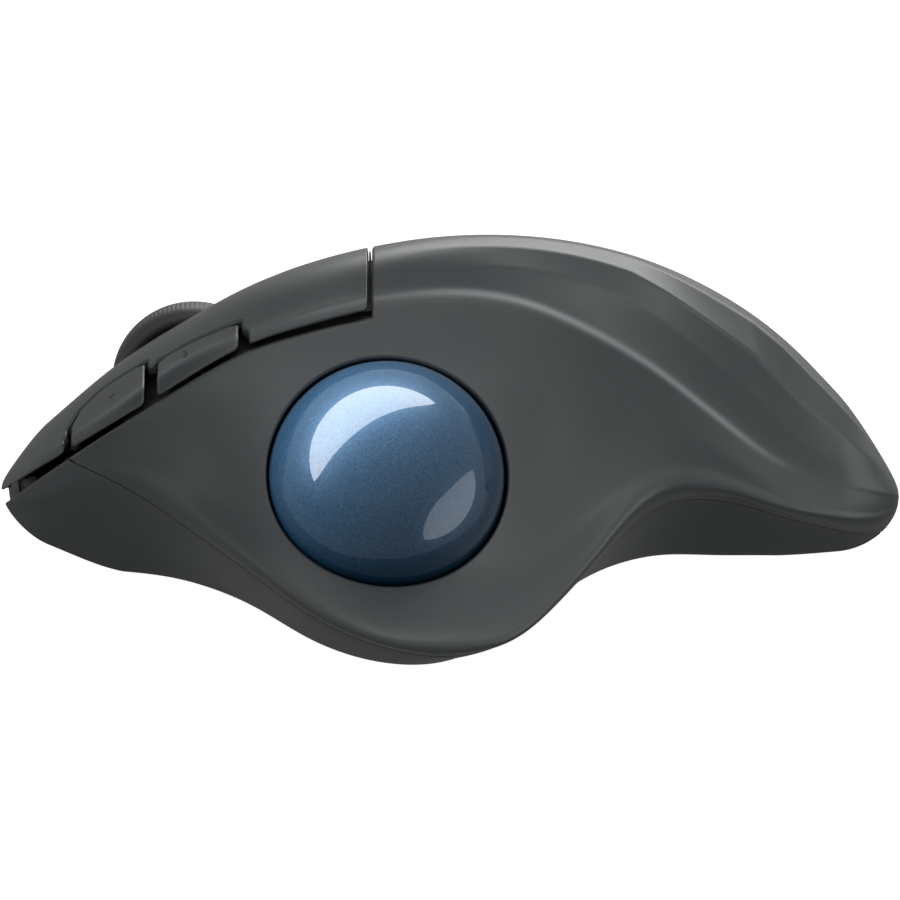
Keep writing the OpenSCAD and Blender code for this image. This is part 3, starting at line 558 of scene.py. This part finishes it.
def slice_at(tris, values, q, level):
    """Splits triangles where q crosses the level. values are per-vertex arrays, mixed along edges."""
    s = q - level
    s = np.where(np.abs(s) < 1e-7, 1e-7, s)
    side = s > 0
    t = side[tris]
    mixed = t.any(1) & ~t.all(1)
    if not mixed.any():
        return tris, values, q
    cut, keep = tris[mixed], tris[~mixed]
    t = t[mixed]
    lone_is_up = t.sum(1) == 1
    lone = np.where(lone_is_up, t.argmax(1), (~t).argmax(1))
    rows = np.arange(len(cut))
    a = cut[rows, lone]
    b = cut[rows, (lone + 1) % 3]
    c = cut[rows, (lone + 2) % 3]
    pairs = np.concatenate([np.stack([a, b], 1), np.stack([a, c], 1)])
    key = np.sort(pairs, 1)
    edges, back = np.unique(key, axis=0, return_inverse=True)
    back = back.reshape(-1)
    w = (s[edges[:, 0]] / (s[edges[:, 0]] - s[edges[:, 1]]))
    n = len(q)
    values = [np.concatenate([v, v[edges[:, 0]] + (v[edges[:, 1]] - v[edges[:, 0]])
                              * (w[:, None] if v.ndim > 1 else w)]) for v in values]
    q = np.concatenate([q, np.full(len(edges), level)])
    ab, ac = n + back[:len(cut)], n + back[len(cut):]
    new = np.concatenate([np.stack([a, ab, ac], 1), np.stack([ab, b, c], 1),
                          np.stack([ab, c, ac], 1)])
    return np.concatenate([keep, new]), values, q


def gradient(field, p, e=0.02):
    """Slope of a field at each point."""
    out = np.empty_like(p)
    for k in range(3):
        step = np.zeros(3)
        step[k] = e
        out[:, k] = (field(p + step) - field(p - step)) / (2 * e)
    return out


def largest_pieces(tris, count, smallest=0.02):
    """Only the connected pieces of a surface that hold more than a small share of its triangles."""
    label = np.arange(count)
    while True:
        low = label[tris].min(1)
        new = label.copy()
        for k in range(3):
            np.minimum.at(new, tris[:, k], low)
        new = new[new]
        if (new == label).all():
            break
        label = new
    owner = label[tris[:, 0]]
    names, size = np.unique(owner, return_counts=True)
    return tris[np.isin(owner, names[size > smallest * len(tris)])]


def compact(tris, arrays):
    """The triangles, and the rows of each array that they use, with the rows numbered anew."""
    used = np.unique(tris)
    index = np.full(len(arrays[0]), -1)
    index[used] = np.arange(len(used))
    return index[tris], [v[used] for v in arrays]


SKIN = skin_mesh()


def shell(name, field, radius, wall=WALL, sunk=0.0):
    """A wall of even thickness under the part of the skin where the field is positive.

    Its cut edges are rounded over by the radius, and run inwards along the cut. It may lie
    sunk below the skin.
    """
    points, normals, soft, tris = SKIN
    points = points - normals * sunk
    d = field(points)
    margin = 2.0
    tris, (p, n, s, d) = compact(tris[(d[tris] > -margin).any(1)], (points, normals, soft, d))
    m = gradient(field, p)
    flat = m - (m * n).sum(1, keepdims=True) * n
    slope = np.maximum(np.linalg.norm(flat, axis=1), 0.25)
    r = radius(p) if callable(radius) else np.full(len(p), radius)
    # q is the distance in from the edge, in radii; out points off the part, and c down the cut
    q = d / slope / r
    out = unit(-flat)
    mu = unit(m)
    c = unit(-n + (n * mu).sum(1, keepdims=True) * mu)
    values = [p, n, s, r, out, c]
    for level in FILLET_STEPS:
        tris, values, q = slice_at(tris, values, q, level)
    tris = tris[q[tris].mean(1) > 0]
    tris, (p, n, s, r, out, c, q) = compact(largest_pieces(tris, len(q)), values + [q])
    n, s, c, out = unit(n), unit(s), unit(c), unit(out)
    over = np.clip(1 - q, 0, 1)
    drop = r * (1 - np.sqrt(np.maximum(1 - over**2, 0)))
    outer = p + c * drop[:, None]
    shade = unit(n * np.sqrt(np.maximum(1 - over**2, 0))[:, None] + out * over[:, None])
    # inner surface: along the cut at the edge, along the smoothed normal further in
    lean = np.maximum((-c * n).sum(1), 0.5)
    to_edge = c * (wall / lean)[:, None]
    facing = np.maximum((s * n).sum(1), 0.5)
    to_inside = -s * (wall / facing)[:, None]
    w = smoothstep(0, 3.0, q * r)[:, None]
    inner = p + to_edge * (1 - w) + to_inside * w
    return shell_object(name, outer, inner, tris, shade, out, s)


def shell_object(name, outer, inner, tris, shade, rim_out, s):
    """Joins the outer and inner surfaces along their rims, with a normal for each face corner."""
    n = len(outer)
    e = np.concatenate([tris[:, [0, 1]], tris[:, [1, 2]], tris[:, [2, 0]]])
    key = np.sort(e, 1)
    _, where, count = np.unique(key, axis=0, return_index=True, return_counts=True)
    rim = e[where[count == 1]]
    quads = np.concatenate([np.stack([rim[:, 1], rim[:, 0], rim[:, 0] + n], 1),
                            np.stack([rim[:, 1], rim[:, 0] + n, rim[:, 1] + n], 1)])
    faces = np.concatenate([tris, quads, tris[:, ::-1] + n])
    loop_normals = np.concatenate([
        shade[tris].reshape(-1, 3),
        np.concatenate([rim_out, rim_out])[quads].reshape(-1, 3),
        -s[tris[:, ::-1]].reshape(-1, 3)])
    return mesh_object(name, np.concatenate([outer, inner]), faces, loop_normals)


def link(name, data):
    """A new object in the scene."""
    o = bpy.data.objects.new(name, data)
    bpy.context.scene.collection.objects.link(o)
    return o


def mesh_object(name, points_mm, faces, loop_normals=None):
    """A smooth-shaded mesh from points in millimetres and an array or a list of faces."""
    me = bpy.data.meshes.new(name)
    me.vertices.add(len(points_mm))
    me.vertices.foreach_set("co", (np.asarray(points_mm) * MM).astype(np.float32).ravel())
    sizes = faces.shape[1] if isinstance(faces, np.ndarray) else None
    if sizes:
        flat = faces.ravel()
        starts = np.arange(len(faces)) * sizes
    else:
        flat = np.concatenate([np.asarray(f) for f in faces])
        starts = np.cumsum([0] + [len(f) for f in faces[:-1]])
    me.loops.add(len(flat))
    me.loops.foreach_set("vertex_index", flat.astype(np.int32))
    me.polygons.add(len(starts))
    me.polygons.foreach_set("loop_start", starts.astype(np.int32))
    me.update(calc_edges=True)
    me.validate()
    me.shade_smooth()
    if loop_normals is not None and len(loop_normals) == len(me.loops):
        me.normals_split_custom_set(unit(loop_normals).tolist())
    return link(name, me)


# ---- Materials ----
def node_material(name):
    """A new material, its node tree and its shader."""
    m = bpy.data.materials.new(name)
    m.use_nodes = True
    tree = m.node_tree
    shader = next(n for n in tree.nodes if n.type == "BSDF_PRINCIPLED")
    return m, tree, shader


def put(node, **inputs):
    """Sets a node's inputs to values, or links them to other nodes' outputs."""
    for name, value in inputs.items():
        socket = node.inputs[name.replace("_", " ")]
        if isinstance(value, bpy.types.NodeSocket):
            node.id_data.links.new(value, socket)
        else:
            socket.default_value = value
    return node


def add(tree, kind, **inputs):
    """A new node, with these inputs."""
    return put(tree.nodes.new(kind), **inputs)


def object_place(tree):
    """Texture coordinates fixed to the object, in metres."""
    return tree.nodes.new("ShaderNodeTexCoord").outputs["Object"]


def noise(tree, scale, detail=2.0, rough=0.5):
    """Noise of this many cells per metre."""
    return add(tree, "ShaderNodeTexNoise", Scale=scale, Detail=detail, Roughness=rough,
               Vector=object_place(tree)).outputs["Fac"]


def spread(tree, source, low, high):
    """The middle of a texture's range, spread over these values."""
    return add(tree, "ShaderNodeMapRange", From_Min=0.3, From_Max=0.7, To_Min=low, To_Max=high,
               Value=source).outputs["Result"]


def tint(tree, source, a, b, start=0.3, end=0.7):
    """A texture's range from start to end, turned into a blend of two colours."""
    ramp = add(tree, "ShaderNodeValToRGB", Fac=source)
    for stop, place, color in zip(ramp.color_ramp.elements, (start, end), (a, b)):
        stop.position = place
        stop.color = (*color, 1)
    return ramp.outputs["Color"]


def bump(tree, source, strength, distance):
    return add(tree, "ShaderNodeBump", Strength=strength, Distance=distance,
               Height=source).outputs["Normal"]


def moulded(name, color, rough, grain=7000.0, relief=0.35, variation=0.12):
    """Moulded plastic: fine spark-eroded grain, with slight unevenness of tone and gloss."""
    m, tree, s = node_material(name)
    broad, fine = noise(tree, 60, 3), noise(tree, grain, 3, 0.6)
    lighter = tuple(c * (1 + variation) for c in color)
    darker = tuple(c * (1 - variation) for c in color)
    put(s, Base_Color=tint(tree, fine, darker, lighter),
        Roughness=spread(tree, broad, rough - 0.03, rough + 0.04),
        Normal=bump(tree, fine, relief, 0.00003))
    return m


def paint_highlight_and_polish(m, color, rough):
    """Paints a highlight along the crease of a plastic: a lighter colour there, and a glossier finish
    where a hand rubs it.
    """
    tree = m.node_tree
    s = next(n for n in tree.nodes if n.type == "BSDF_PRINCIPLED")
    highlight_and_polish = tree.nodes.new("ShaderNodeAttribute")
    highlight_and_polish.attribute_name = "highlight_and_polish"
    # a Mix node has sockets for each type of data: first, last and result are their places
    # the lighter Base Color along the crease is a painted highlight; the lower Roughness is a glossier
    # finish
    for name, kind, crease_value, (first, last, result) in [
            ("Base Color", "RGBA", (*color, 1), (6, 7, 2)), ("Roughness", "FLOAT", rough, (2, 3, 0))]:
        mix = add(tree, "ShaderNodeMix", Factor=highlight_and_polish.outputs["Fac"])
        mix.data_type = kind
        tree.links.new(s.inputs[name].links[0].from_socket, mix.inputs[first])
        mix.inputs[last].default_value = crease_value
        tree.links.new(mix.outputs[result], s.inputs[name])
    return m


def metal(name, color, rough, grain=2500.0):
    """Plated metal with a fine, slightly uneven polish."""
    m, tree, s = node_material(name)
    fine = noise(tree, grain, 3, 0.6)
    darker = tuple(c * 0.85 for c in color)
    put(s, Base_Color=tint(tree, fine, darker, color), Metallic=1.0,
        Roughness=spread(tree, fine, rough - 0.05, rough + 0.08),
        Normal=bump(tree, fine, 0.15, 0.00002))
    return m


def pearl(name):
    """Pearl blue resin under a clear, polished coat: fine bright flakes in a deeper blue."""
    m, tree, s = node_material(name)
    flakes = add(tree, "ShaderNodeTexVoronoi", Scale=7500.0, Vector=object_place(tree))
    cell = add(tree, "ShaderNodeSeparateColor", Color=flakes.outputs["Color"]).outputs
    put(s, Base_Color=tint(tree, cell["Red"], (0.006, 0.040, 0.095), (0.022, 0.092, 0.180), 0.2, 1),
        Roughness=spread(tree, cell["Green"], 0.36, 0.5), Metallic=0.45,
        Normal=bump(tree, cell["Blue"], 0.10, 0.00002),
        Coat_Weight=1.0, Coat_Roughness=0.02, Coat_IOR=1.5)
    return m


def clear(name, color):
    """Clear moulded resin."""
    m, tree, s = node_material(name)
    fine = noise(tree, 900, 2)
    put(s, Base_Color=tint(tree, fine, tuple(c * 0.97 for c in color), color),
        Roughness=spread(tree, fine, 0.05, 0.12), Transmission_Weight=0.85, IOR=1.49)
    return m


def board(name):
    """Solder mask over copper: paler, blocky patches show through the green."""
    m, tree, s = node_material(name)
    cells = add(tree, "ShaderNodeTexVoronoi", Scale=420.0, Vector=object_place(tree))
    cells.distance = "MANHATTAN"
    put(s, Base_Color=tint(tree, cells.outputs["Distance"], (0.012, 0.075, 0.035), (0.02, 0.12, 0.055)),
        Roughness=spread(tree, noise(tree, 500, 3), 0.25, 0.38))
    return m


# The second colour is a painted highlight, laid along the crease of the case and keys
GRAPHITE, HIGHLIGHT_COLOR = (0.038, 0.0425, 0.0445), (0.19, 0.2, 0.205)
MATERIALS = {
    # the case plastic gets the painted highlight and a glossier finish along the crease
    "case_plastic": paint_highlight_and_polish(moulded("graphite_plastic", GRAPHITE, 0.42), HIGHLIGHT_COLOR, 0.3),
    "base_plastic": moulded("base_plastic", (0.036, 0.040, 0.0425), 0.5),
    "inner_plastic": moulded("inner_plastic", (0.005, 0.0053, 0.0058), 0.55, relief=0.2),
    "ball_blue": pearl("pearl_blue"),
    "tyre_rubber": moulded("tyre_rubber", (0.028, 0.0295, 0.031), 0.6, grain=4500, relief=0.5),
    "wheel_plastic": moulded("wheel_plastic", (0.022, 0.0235, 0.025), 0.45),
    "frame_grey": moulded("acetal_grey", (0.2, 0.205, 0.21), 0.4, relief=0.1, variation=0.05),
    "bead_ceramic": moulded("bead_ceramic", (0.78, 0.75, 0.7), 0.12, relief=0.02, variation=0.03),
    "board_green": board("solder_mask"),
    "ribbon_amber": moulded("polyimide", (0.45, 0.2, 0.04), 0.3, relief=0.05),
    "chip_black": moulded("chip_black", (0.012, 0.012, 0.013), 0.45, relief=0.2),
    "plunger_red": moulded("plunger_red", (0.4, 0.05, 0.03), 0.35, relief=0.1, variation=0.06),
    "screw_steel": metal("zinc_steel", (0.5, 0.51, 0.53), 0.35),
    "contact_nickel": metal("nickel", (0.66, 0.66, 0.65), 0.22),
    "lens_clear": clear("clear_resin", (0.9, 0.93, 0.95)),
    "led_green": moulded("led_epoxy", (0.3, 0.6, 0.25), 0.2, relief=0.03, variation=0.05),
    "cell_wrap": moulded("cell_sleeve", (0.32, 0.14, 0.035), 0.25, relief=0.04, variation=0.06),
    "receiver_black": moulded("receiver_black", (0.01, 0.01, 0.011), 0.4),
    "slider_green": moulded("slider_green", (0.12, 0.3, 0.05), 0.35, relief=0.15, variation=0.06),
    "foot_pad": moulded("foot_pad", (0.008, 0.008, 0.009), 0.3, grain=3000, relief=0.15),
}
SLOT_OF = {s["node"]: s["material_slot"] for s in frame["record"]["subparts"]}
BODY_OF = {n: b for b, names in frame["record"]["behaviour"]["bodies"].items() for n in names}


def dress(o, slot):
    """Gives an object the material of one of the record's slots."""
    o.data.materials.clear()
    o.data.materials.append(MATERIALS[slot])


def install(o, node):
    """o stands for the CAD node, rides on its body and wears its finish."""
    dress(o, SLOT_OF[node])
    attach(o, BODY_OF[node])
    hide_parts(node)
    return o


for node, cad in frame["nodes"].items():
    dress(cad, SLOT_OF[node])


# ---- Shells ----
SEAM_RADIUS, CASE_RADIUS, BASE_RADIUS = 0.14, 0.45, 0.35
# Width in millimetres of the painted highlight along the crease
HIGHLIGHT_WIDTH = 0.62


def seam_edge(p, lift):
    """Whether a point is beside the seam, and clear of the keys' opening."""
    return (np.abs(seam_height(p, lift)) < 0.9) & (np.abs(case_cutout(p)) > 1.0)


def case_radius(p):
    """Crisp at the seam, softer at the keys and at the round opening."""
    return np.where(seam_edge(p, 0), SEAM_RADIUS, CASE_RADIUS)


def base_radius(p):
    """Crisp at the seam, softer under the keys and at the openings of the underside."""
    crisp = seam_edge(p, -SEAM_GAP) & (p[:, 0] > SEAM_FRONT_X + 1)
    return np.where(crisp, SEAM_RADIUS, BASE_RADIUS)


def add_highlight_and_polish(o):
    """Marks the points along the crease, for the painted highlight and the glossier finish there."""
    p = np.empty(len(o.data.vertices) * 3, np.float32)
    o.data.vertices.foreach_get("co", p)
    x, y, z = p.reshape(-1, 3).T / MM
    crease_y, crease_z = (np.interp(x, FINE_X, FINE[CREASE][:, j]) for j in (0, 1))
    d = np.hypot(y - crease_y, z - crease_z)
    # the painted highlight is faint along the keys, full over the hump, gone towards the tail
    along = (0.3 + 0.7 * smoothstep(-10, 6, x)) * smoothstep(-58, -48, x) * (1 - smoothstep(38, 54, x))
    highlight_and_polish = o.data.attributes.new("highlight_and_polish", "FLOAT", "POINT")
    highlight_and_polish.data.foreach_set("value", (along * np.exp(-(d / HIGHLIGHT_WIDTH) ** 2)).astype(np.float32))
    return o


def key_radius(p):
    """A soft edge, crisper at the back where the key meets the case."""
    return 0.2 + 0.25 * smoothstep(0.6, 2.0, KEY_EDGE[-1][0] - p[:, 0])


def gap_rib(name, x0, x1, sunk, thick):
    """A step of the lip under the gap behind the keys, which keeps light and dust out."""
    def field(p):
        d = above_edges(CASE_EDGE, CASE_EDGE_RIGHT, p) - 1.0
        return np.minimum(np.minimum(d, p[:, 0] - x0), x1 - p[:, 0])
    o = shell(name, field, 0.08, thick, sunk)
    dress(o, "inner_plastic")
    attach(o, "case")


def key_shell(name, node, field, radius):
    """One of the thinner shells over the keys and side buttons, with a painted highlight along the
    crease.
    """
    return install(add_highlight_and_polish(shell(name, field, radius, KEY_WALL)), node)


# the upper case carries the painted highlight along the crease too
install(add_highlight_and_polish(shell("upper_case_shell", upper_case_field, case_radius)), "upper_case")
install(shell("lower_case_shell", lower_case_field, base_radius), "lower_case")
key_shell("left_key_shell", "left_key", key_field(-1), key_radius)
key_shell("right_key_shell", "right_key", key_field(1), key_radius)
gap_rib("gap_rib_low", -13.3, -11.0, sunk=2.0, thick=1.3)
gap_rib("gap_rib_high", -12.05, -11.6, sunk=0.6, thick=1.5)
FORWARD = key_shell("forward_button_cap", "forward_button", button_field(FORWARD_TOP),
                    button_radius(FORWARD_TOP))
BACK = key_shell("back_button_cap", "back_button", button_field(BACK_TOP), button_radius(BACK_TOP))


# ---- Round pieces and small parts ----
def face_outwards(o, sharp):
    """Turns a closed mesh's faces outwards, and keeps its edges over this angle sharp."""
    bm = bmesh.new()
    bm.from_mesh(o.data)
    bmesh.ops.recalc_face_normals(bm, faces=bm.faces)
    bm.to_mesh(o.data)
    bm.free()
    o.data.shade_smooth()
    o.data.set_sharp_from_angle(angle=math.radians(sharp))
    return o


def lathe(name, profile, steps, place, at, shape=None):
    """Turns a [radius, height] profile about an axis, then places it.

    It starts and ends on the axis, or it is a closed ring. shape may change the radii of the
    points: it is given the radii, the heights and the angles.
    """
    prof = np.array(profile, float)
    solid = prof[0, 0] == 0
    ring = prof[1:-1] if solid else prof
    a = (np.arange(steps) * 2 * math.pi / steps)[:, None]
    r, h = np.broadcast_arrays(ring[None, :, 0], ring[None, :, 1] + 0 * a)
    if shape:
        r = shape(r, h, a)
    pts = np.stack([r * np.cos(a), h, r * np.sin(a)], -1).reshape(-1, 3)
    m = len(ring)
    i, j = np.meshgrid(np.arange(steps), np.arange(m - 1 if solid else m), indexing="ij")
    i, j = i.ravel(), j.ravel()
    i2, j2 = (i + 1) % steps, (j + 1) % m
    faces = [list(f) for f in np.stack([i * m + j, i2 * m + j, i2 * m + j2, i * m + j2], 1)]
    if solid:
        pts = np.concatenate([pts, [[0, prof[0, 1], 0], [0, prof[-1, 1], 0]]])
        first, last = steps * m, steps * m + 1
        k = np.arange(steps)
        faces += [[first, q * m, (q + 1) % steps * m][::-1] for q in k]
        faces += [[last, q * m + m - 1, (q + 1) % steps * m + m - 1] for q in k]
    return face_outwards(mesh_object(name, pts @ place.T + at, faces), 40)


RIBS, RIB_DEPTH, COLUMNS_PER_RIB = 108, 0.07, 4


def tread(r, h, a):
    """Fine ribs across the middle of the tyre."""
    groove = smoothstep(0.55, 0.8, np.abs(((a * RIBS / (2 * math.pi)) % 1) * 2 - 1))
    centre = 1 - smoothstep(1.3, 2.1, np.abs(h))
    return r - RIB_DEPTH * groove * centre * (r > WHEEL_R - 0.5)


def wheel():
    """The tyre with its rounded shoulders, and the dished disc with the axle stubs inside it."""
    r = WHEEL_R
    half = [[r - 2.5, 2.75], [r - 2.15, 3.05], [r - 1.7, 3.2], [r - 1.2, 3.12], [r - 0.75, 2.85],
            [r - 0.38, 2.4], [r - 0.14, 1.85], [r - 0.03, 1.3], [r, 0.6], [r, 0.2]]
    profile = half + [[p[0], -p[1]] for p in half[::-1]]
    tyre = lathe("wheel_tyre_ribbed", profile, RIBS * COLUMNS_PER_RIB, WHEEL, WHEEL_C, tread)
    half = [[0, 5.4], [1.25, 5.4], [1.5, 5.15], [1.5, 3.75], [2.7, 3.7], [3, 3.4], [3.1, 2.4],
            [3.5, 2.05], [5, 1.85], [7, 2.0], [8.3, 2.35], [9.0, 2.62], [9.45, 2.66], [9.7, 2.5],
            [9.8, 2.2]]
    hub = lathe("wheel_disc", half + [[p[0], -p[1]] for p in half[::-1]], 144, WHEEL, WHEEL_C)
    install(tyre, "wheel_tyre")
    install(hub, "wheel_hub")


def soften(node, width):
    """The CAD part again, with its sharp edges rounded over by this width."""
    cad = frame["nodes"][node]
    bm = bmesh.new()
    bm.from_mesh(cad.data)
    bm.transform(cad.matrix_world)
    bmesh.ops.remove_doubles(bm, verts=bm.verts, dist=1e-6)
    bmesh.ops.dissolve_limit(bm, angle_limit=math.radians(1), verts=bm.verts, edges=bm.edges)
    sharp = [e for e in bm.edges if e.is_manifold and e.calc_face_angle(0) > math.radians(35)]
    bmesh.ops.bevel(bm, geom=sharp, offset=width * MM, segments=3, profile=0.5, affect="EDGES",
                    clamp_overlap=True)
    bmesh.ops.triangulate(bm, faces=[f for f in bm.faces if len(f.verts) > 4])
    me = bpy.data.meshes.new(node + "_softened")
    bm.to_mesh(me)
    bm.free()
    me.shade_smooth()
    me.set_sharp_from_angle(angle=math.radians(32))
    install(link(node + "_softened", me), node)


def chevron(name, cap, at, point):
    """A small moulded mark laid on a side button, with its tip towards +X or -X.

    at is [x, height along UPWARDS] of its middle, and point is 1 or -1.
    """
    tree = BVHTree.FromPolygons([v.co.copy() for v in cap.data.vertices],
                                [tuple(p.vertices) for p in cap.data.polygons])
    reach, half, proud, sunk = 0.5, 0.13, 0.05, 0.15
    tip = point * reach / 2
    spine = np.array([[-tip, reach], [tip, 0], [-tip, -reach]])
    step = np.linspace(0, 1, 7)[:, None]
    rows = []
    for side in (-half, half):
        a, b, c = spine + [[side, side * 0.5], [side * 1.2, 0], [side, -side * 0.5]]
        rows.append(np.concatenate([a + (b - a) * step, b + (c - b) * step[1:]]))
    top, low = [], []
    for u, w in np.concatenate(rows):
        start = np.array([at[0] + u, 0, 0]) + UPWARDS * (at[1] + w) + TOWARDS * 60
        hit, normal, _, _ = tree.ray_cast(Vector(start * MM), Vector(-TOWARDS))
        top.append(np.array(hit) / MM + np.array(normal) * proud)
        low.append(np.array(hit) / MM - np.array(normal) * sunk)
    n = len(rows[0])
    faces = []
    for k in range(n - 1):
        a, b, c, d = k, k + 1, n + k + 1, n + k
        faces += [[a, d, c, b], [a + 2 * n, b + 2 * n, c + 2 * n, d + 2 * n],
                  [a, b, b + 2 * n, a + 2 * n], [d, d + 2 * n, c + 2 * n, c]]
    faces += [[0, 2 * n, 3 * n, n], [n - 1, 2 * n - 1, 4 * n - 1, 3 * n - 1]]
    o = face_outwards(mesh_object(name, np.array(top + low), faces), 30)
    dress(o, "receiver_black")
    return o


wheel()
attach(chevron("forward_mark", FORWARD, [-50.3, 19.5], -1), "forward_button")
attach(chevron("back_mark", BACK, [-39.3, 25.9], 1), "back_button")
EDGES = {"battery_door": 0.25, "feet": 0.25, "power_slider": 0.12, "connect_button": 0.3,
         "case_screws": 0.15, "wheel_carrier": 0.2, "usb_receiver": 0.3}
for node, width in EDGES.items():
    soften(node, width)


def puffed(a, b, c):
    """The first coordinate of a point of a cube, moved out to the sphere around it."""
    return a * math.sqrt(max(1 - b * b / 2 - c * c / 2 + b * b * c * c / 3, 0))


def ball():
    """An even sphere, made by puffing out a finely divided cube."""
    bm = bmesh.new()
    bmesh.ops.create_cube(bm, size=2)
    bmesh.ops.subdivide_edges(bm, edges=bm.edges, cuts=47, use_grid_fill=True)
    for v in bm.verts:
        x, y, z = v.co
        v.co = (puffed(x, y, z), puffed(y, z, x), puffed(z, x, y))
        v.co = v.co.normalized() * BALL_R * MM
    me = bpy.data.meshes.new("ball")
    bm.to_mesh(me)
    bm.free()
    me.shade_smooth()
    me.transform(Matrix.Translation([c * MM for c in BALL_C]))
    return link("ball", me)


BALL = install(ball(), "trackball")


# ---- View and light, in metres ----
# The camera is far off, with a long lens: this is the width that it takes in, and what it faces
VIEW_SPAN, VIEW_DISTANCE, AIM = 0.13473, 2.5, (0.0, 0.0, 0.01344)
SENSOR = 36
LAMP_AIM = (0, 0, 0.02)
# Brightness of the surroundings against height, from straight down to straight up
SKY = [(-1.0, 0.26), (-0.15, 0.34), (0.1, 0.46), (0.5, 0.48), (1.0, 0.7)]
# Radius in millimetres of the dome that carries the ball's two panels
DOME_R = 450.0
# The panels light only the ball, and the lamps light all but the ball
BALL_ONLY = bpy.data.collections.new("lit_ball")
BALL_ONLY.objects.link(BALL)
ALL_BUT_BALL = bpy.data.collections.new("unlit_ball")
ALL_BUT_BALL.objects.link(BALL)
ALL_BUT_BALL.collection_objects[0].light_linking.link_state = "EXCLUDE"


def aim(o, at, target):
    """Puts a camera or a lamp at a place, facing another."""
    o.location = Vector(at)
    o.rotation_euler = (Vector(target) - Vector(at)).to_track_quat("-Z", "Y").to_euler()


def camera():
    """A distant camera with a long lens, so that the view is nearly parallel."""
    cam = bpy.data.cameras.new("camera")
    cam.sensor_width = SENSOR
    cam.lens = SENSOR * VIEW_DISTANCE / VIEW_SPAN
    cam.clip_end = 20
    o = link("camera", cam)
    aim(o, np.array(AIM) + TOWARDS * VIEW_DISTANCE, AIM)
    bpy.context.scene.camera = o


def softbox(name, at, width, height, power):
    """A rectangular lamp that faces the mouse."""
    light = bpy.data.lights.new(name, "AREA")
    light.energy = power
    light.shape = "RECTANGLE"
    light.size = width
    light.size_y = height
    o = link(name, light)
    aim(o, at, LAMP_AIM)
    o.light_linking.receiver_collection = ALL_BUT_BALL


def grid_quads(rows, columns):
    """The faces of a grid of points, given row by row."""
    k = np.arange(rows * columns).reshape(rows, columns)
    return np.stack([k[:-1, :-1], k[:-1, 1:], k[1:, 1:], k[1:, :-1]], -1).reshape(-1, 4)


def glow(name, strength):
    """A material that only shines."""
    m = bpy.data.materials.new(name)
    m.use_nodes = True
    tree = m.node_tree
    tree.nodes.clear()
    shine = add(tree, "ShaderNodeEmission", Strength=strength)
    add(tree, "ShaderNodeOutputMaterial", Surface=shine.outputs["Emission"])
    return m


def curved_panel(name, turns, outer, inner, strength, steps=40, rows=10):
    """A glowing panel on a dome round the ball, shaped by where the polished ball mirrors it.

    turns are its first and last angle round the line of sight, and outer and inner give, for a
    share along it, how far out on the ball its edges show, as shares of the ball's radius.
    """
    right = np.array([1.0, 0, 0])
    points = []
    for i in range(steps + 1):
        t = i / steps
        a = math.radians(turns[0] + (turns[1] - turns[0]) * t)
        for j in range(rows + 1):
            r = inner(t) + (outer(t) - inner(t)) * j / rows
            n = r * (math.cos(a) * right + math.sin(a) * UPWARDS) + math.sqrt(1 - r * r) * TOWARDS
            mirrored = 2 * (n @ TOWARDS) * n - TOWARDS
            points.append(BALL_C + n * BALL_R + mirrored * DOME_R)
    o = mesh_object(name, np.array(points), grid_quads(steps + 1, rows + 1))
    o.data.materials.append(glow(name, strength))
    o.visible_camera = False
    o.visible_shadow = False
    o.light_linking.receiver_collection = BALL_ONLY


def floor():
    """A floor that the camera sees as white, and that lights nothing."""
    reach, cells = 4.0, 8
    k = np.linspace(-reach, reach, cells + 1) / MM
    x, y = np.meshgrid(k, k)
    pts = np.stack([x.ravel(), y.ravel(), np.zeros(x.size)], 1)
    o = mesh_object("floor", pts, grid_quads(*x.shape))
    m, _, s = node_material("floor_white")
    put(s, Base_Color=(0.25, 0.25, 0.25, 1), Roughness=0.9, Specular_IOR_Level=0.0,
        Emission_Color=(1, 1, 1, 1), Emission_Strength=0.97)
    o.data.materials.append(m)
    o.visible_diffuse = False
    o.visible_glossy = False


def world():
    """Soft surroundings: bright overhead, dimmer towards the horizon and dark below it."""
    w = bpy.data.worlds.new("studio")
    bpy.context.scene.world = w
    w.use_nodes = True
    tree = w.node_tree
    coord = tree.nodes.new("ShaderNodeTexCoord")
    split = add(tree, "ShaderNodeSeparateXYZ", Vector=coord.outputs["Generated"])
    share = add(tree, "ShaderNodeMapRange", From_Min=-1.0, From_Max=1.0, Value=split.outputs["Z"])
    ramp = add(tree, "ShaderNodeValToRGB", Fac=share.outputs["Result"])
    stops = ramp.color_ramp.elements
    while len(stops) < len(SKY):
        stops.new(0.5)
    for stop, (height, level) in zip(stops, SKY):
        stop.position = (height + 1) / 2
        stop.color = (level, level, level, 1)
    put(tree.nodes["Background"], Color=ramp.outputs["Color"], Strength=1.0)


camera()
floor()
world()
softbox("back_light", (0.42, 0.9, 0.6), 1.4, 0.8, power=17)
softbox("left_light", (-0.8, -0.15, 0.4), 0.5, 0.3, power=1.9)
softbox("front_light", (0.12, -0.38, 0.88), 0.7, 0.12, power=1.9)
softbox("right_light", (0.8, -0.4, 0.25), 0.5, 0.4, power=2.2)
curved_panel("left_panel", (182, 57),
             lambda t: 0.61 + 0.15 * t + 0.085 * math.sin(math.pi * t) ** 0.8,
             lambda t: 0.61 + 0.15 * t - 0.215 * math.sin(math.pi * t) ** 0.7, 9.0)
curved_panel("right_panel", (-58, 6),
             lambda t: 0.60 + 0.13 * t + 0.075 * math.sin(math.pi * t) ** 0.7,
             lambda t: 0.60 + 0.13 * t - 0.20 * math.sin(math.pi * t) ** 0.6, 2.0)
bpy.context.scene.view_settings.view_transform = "Standard"
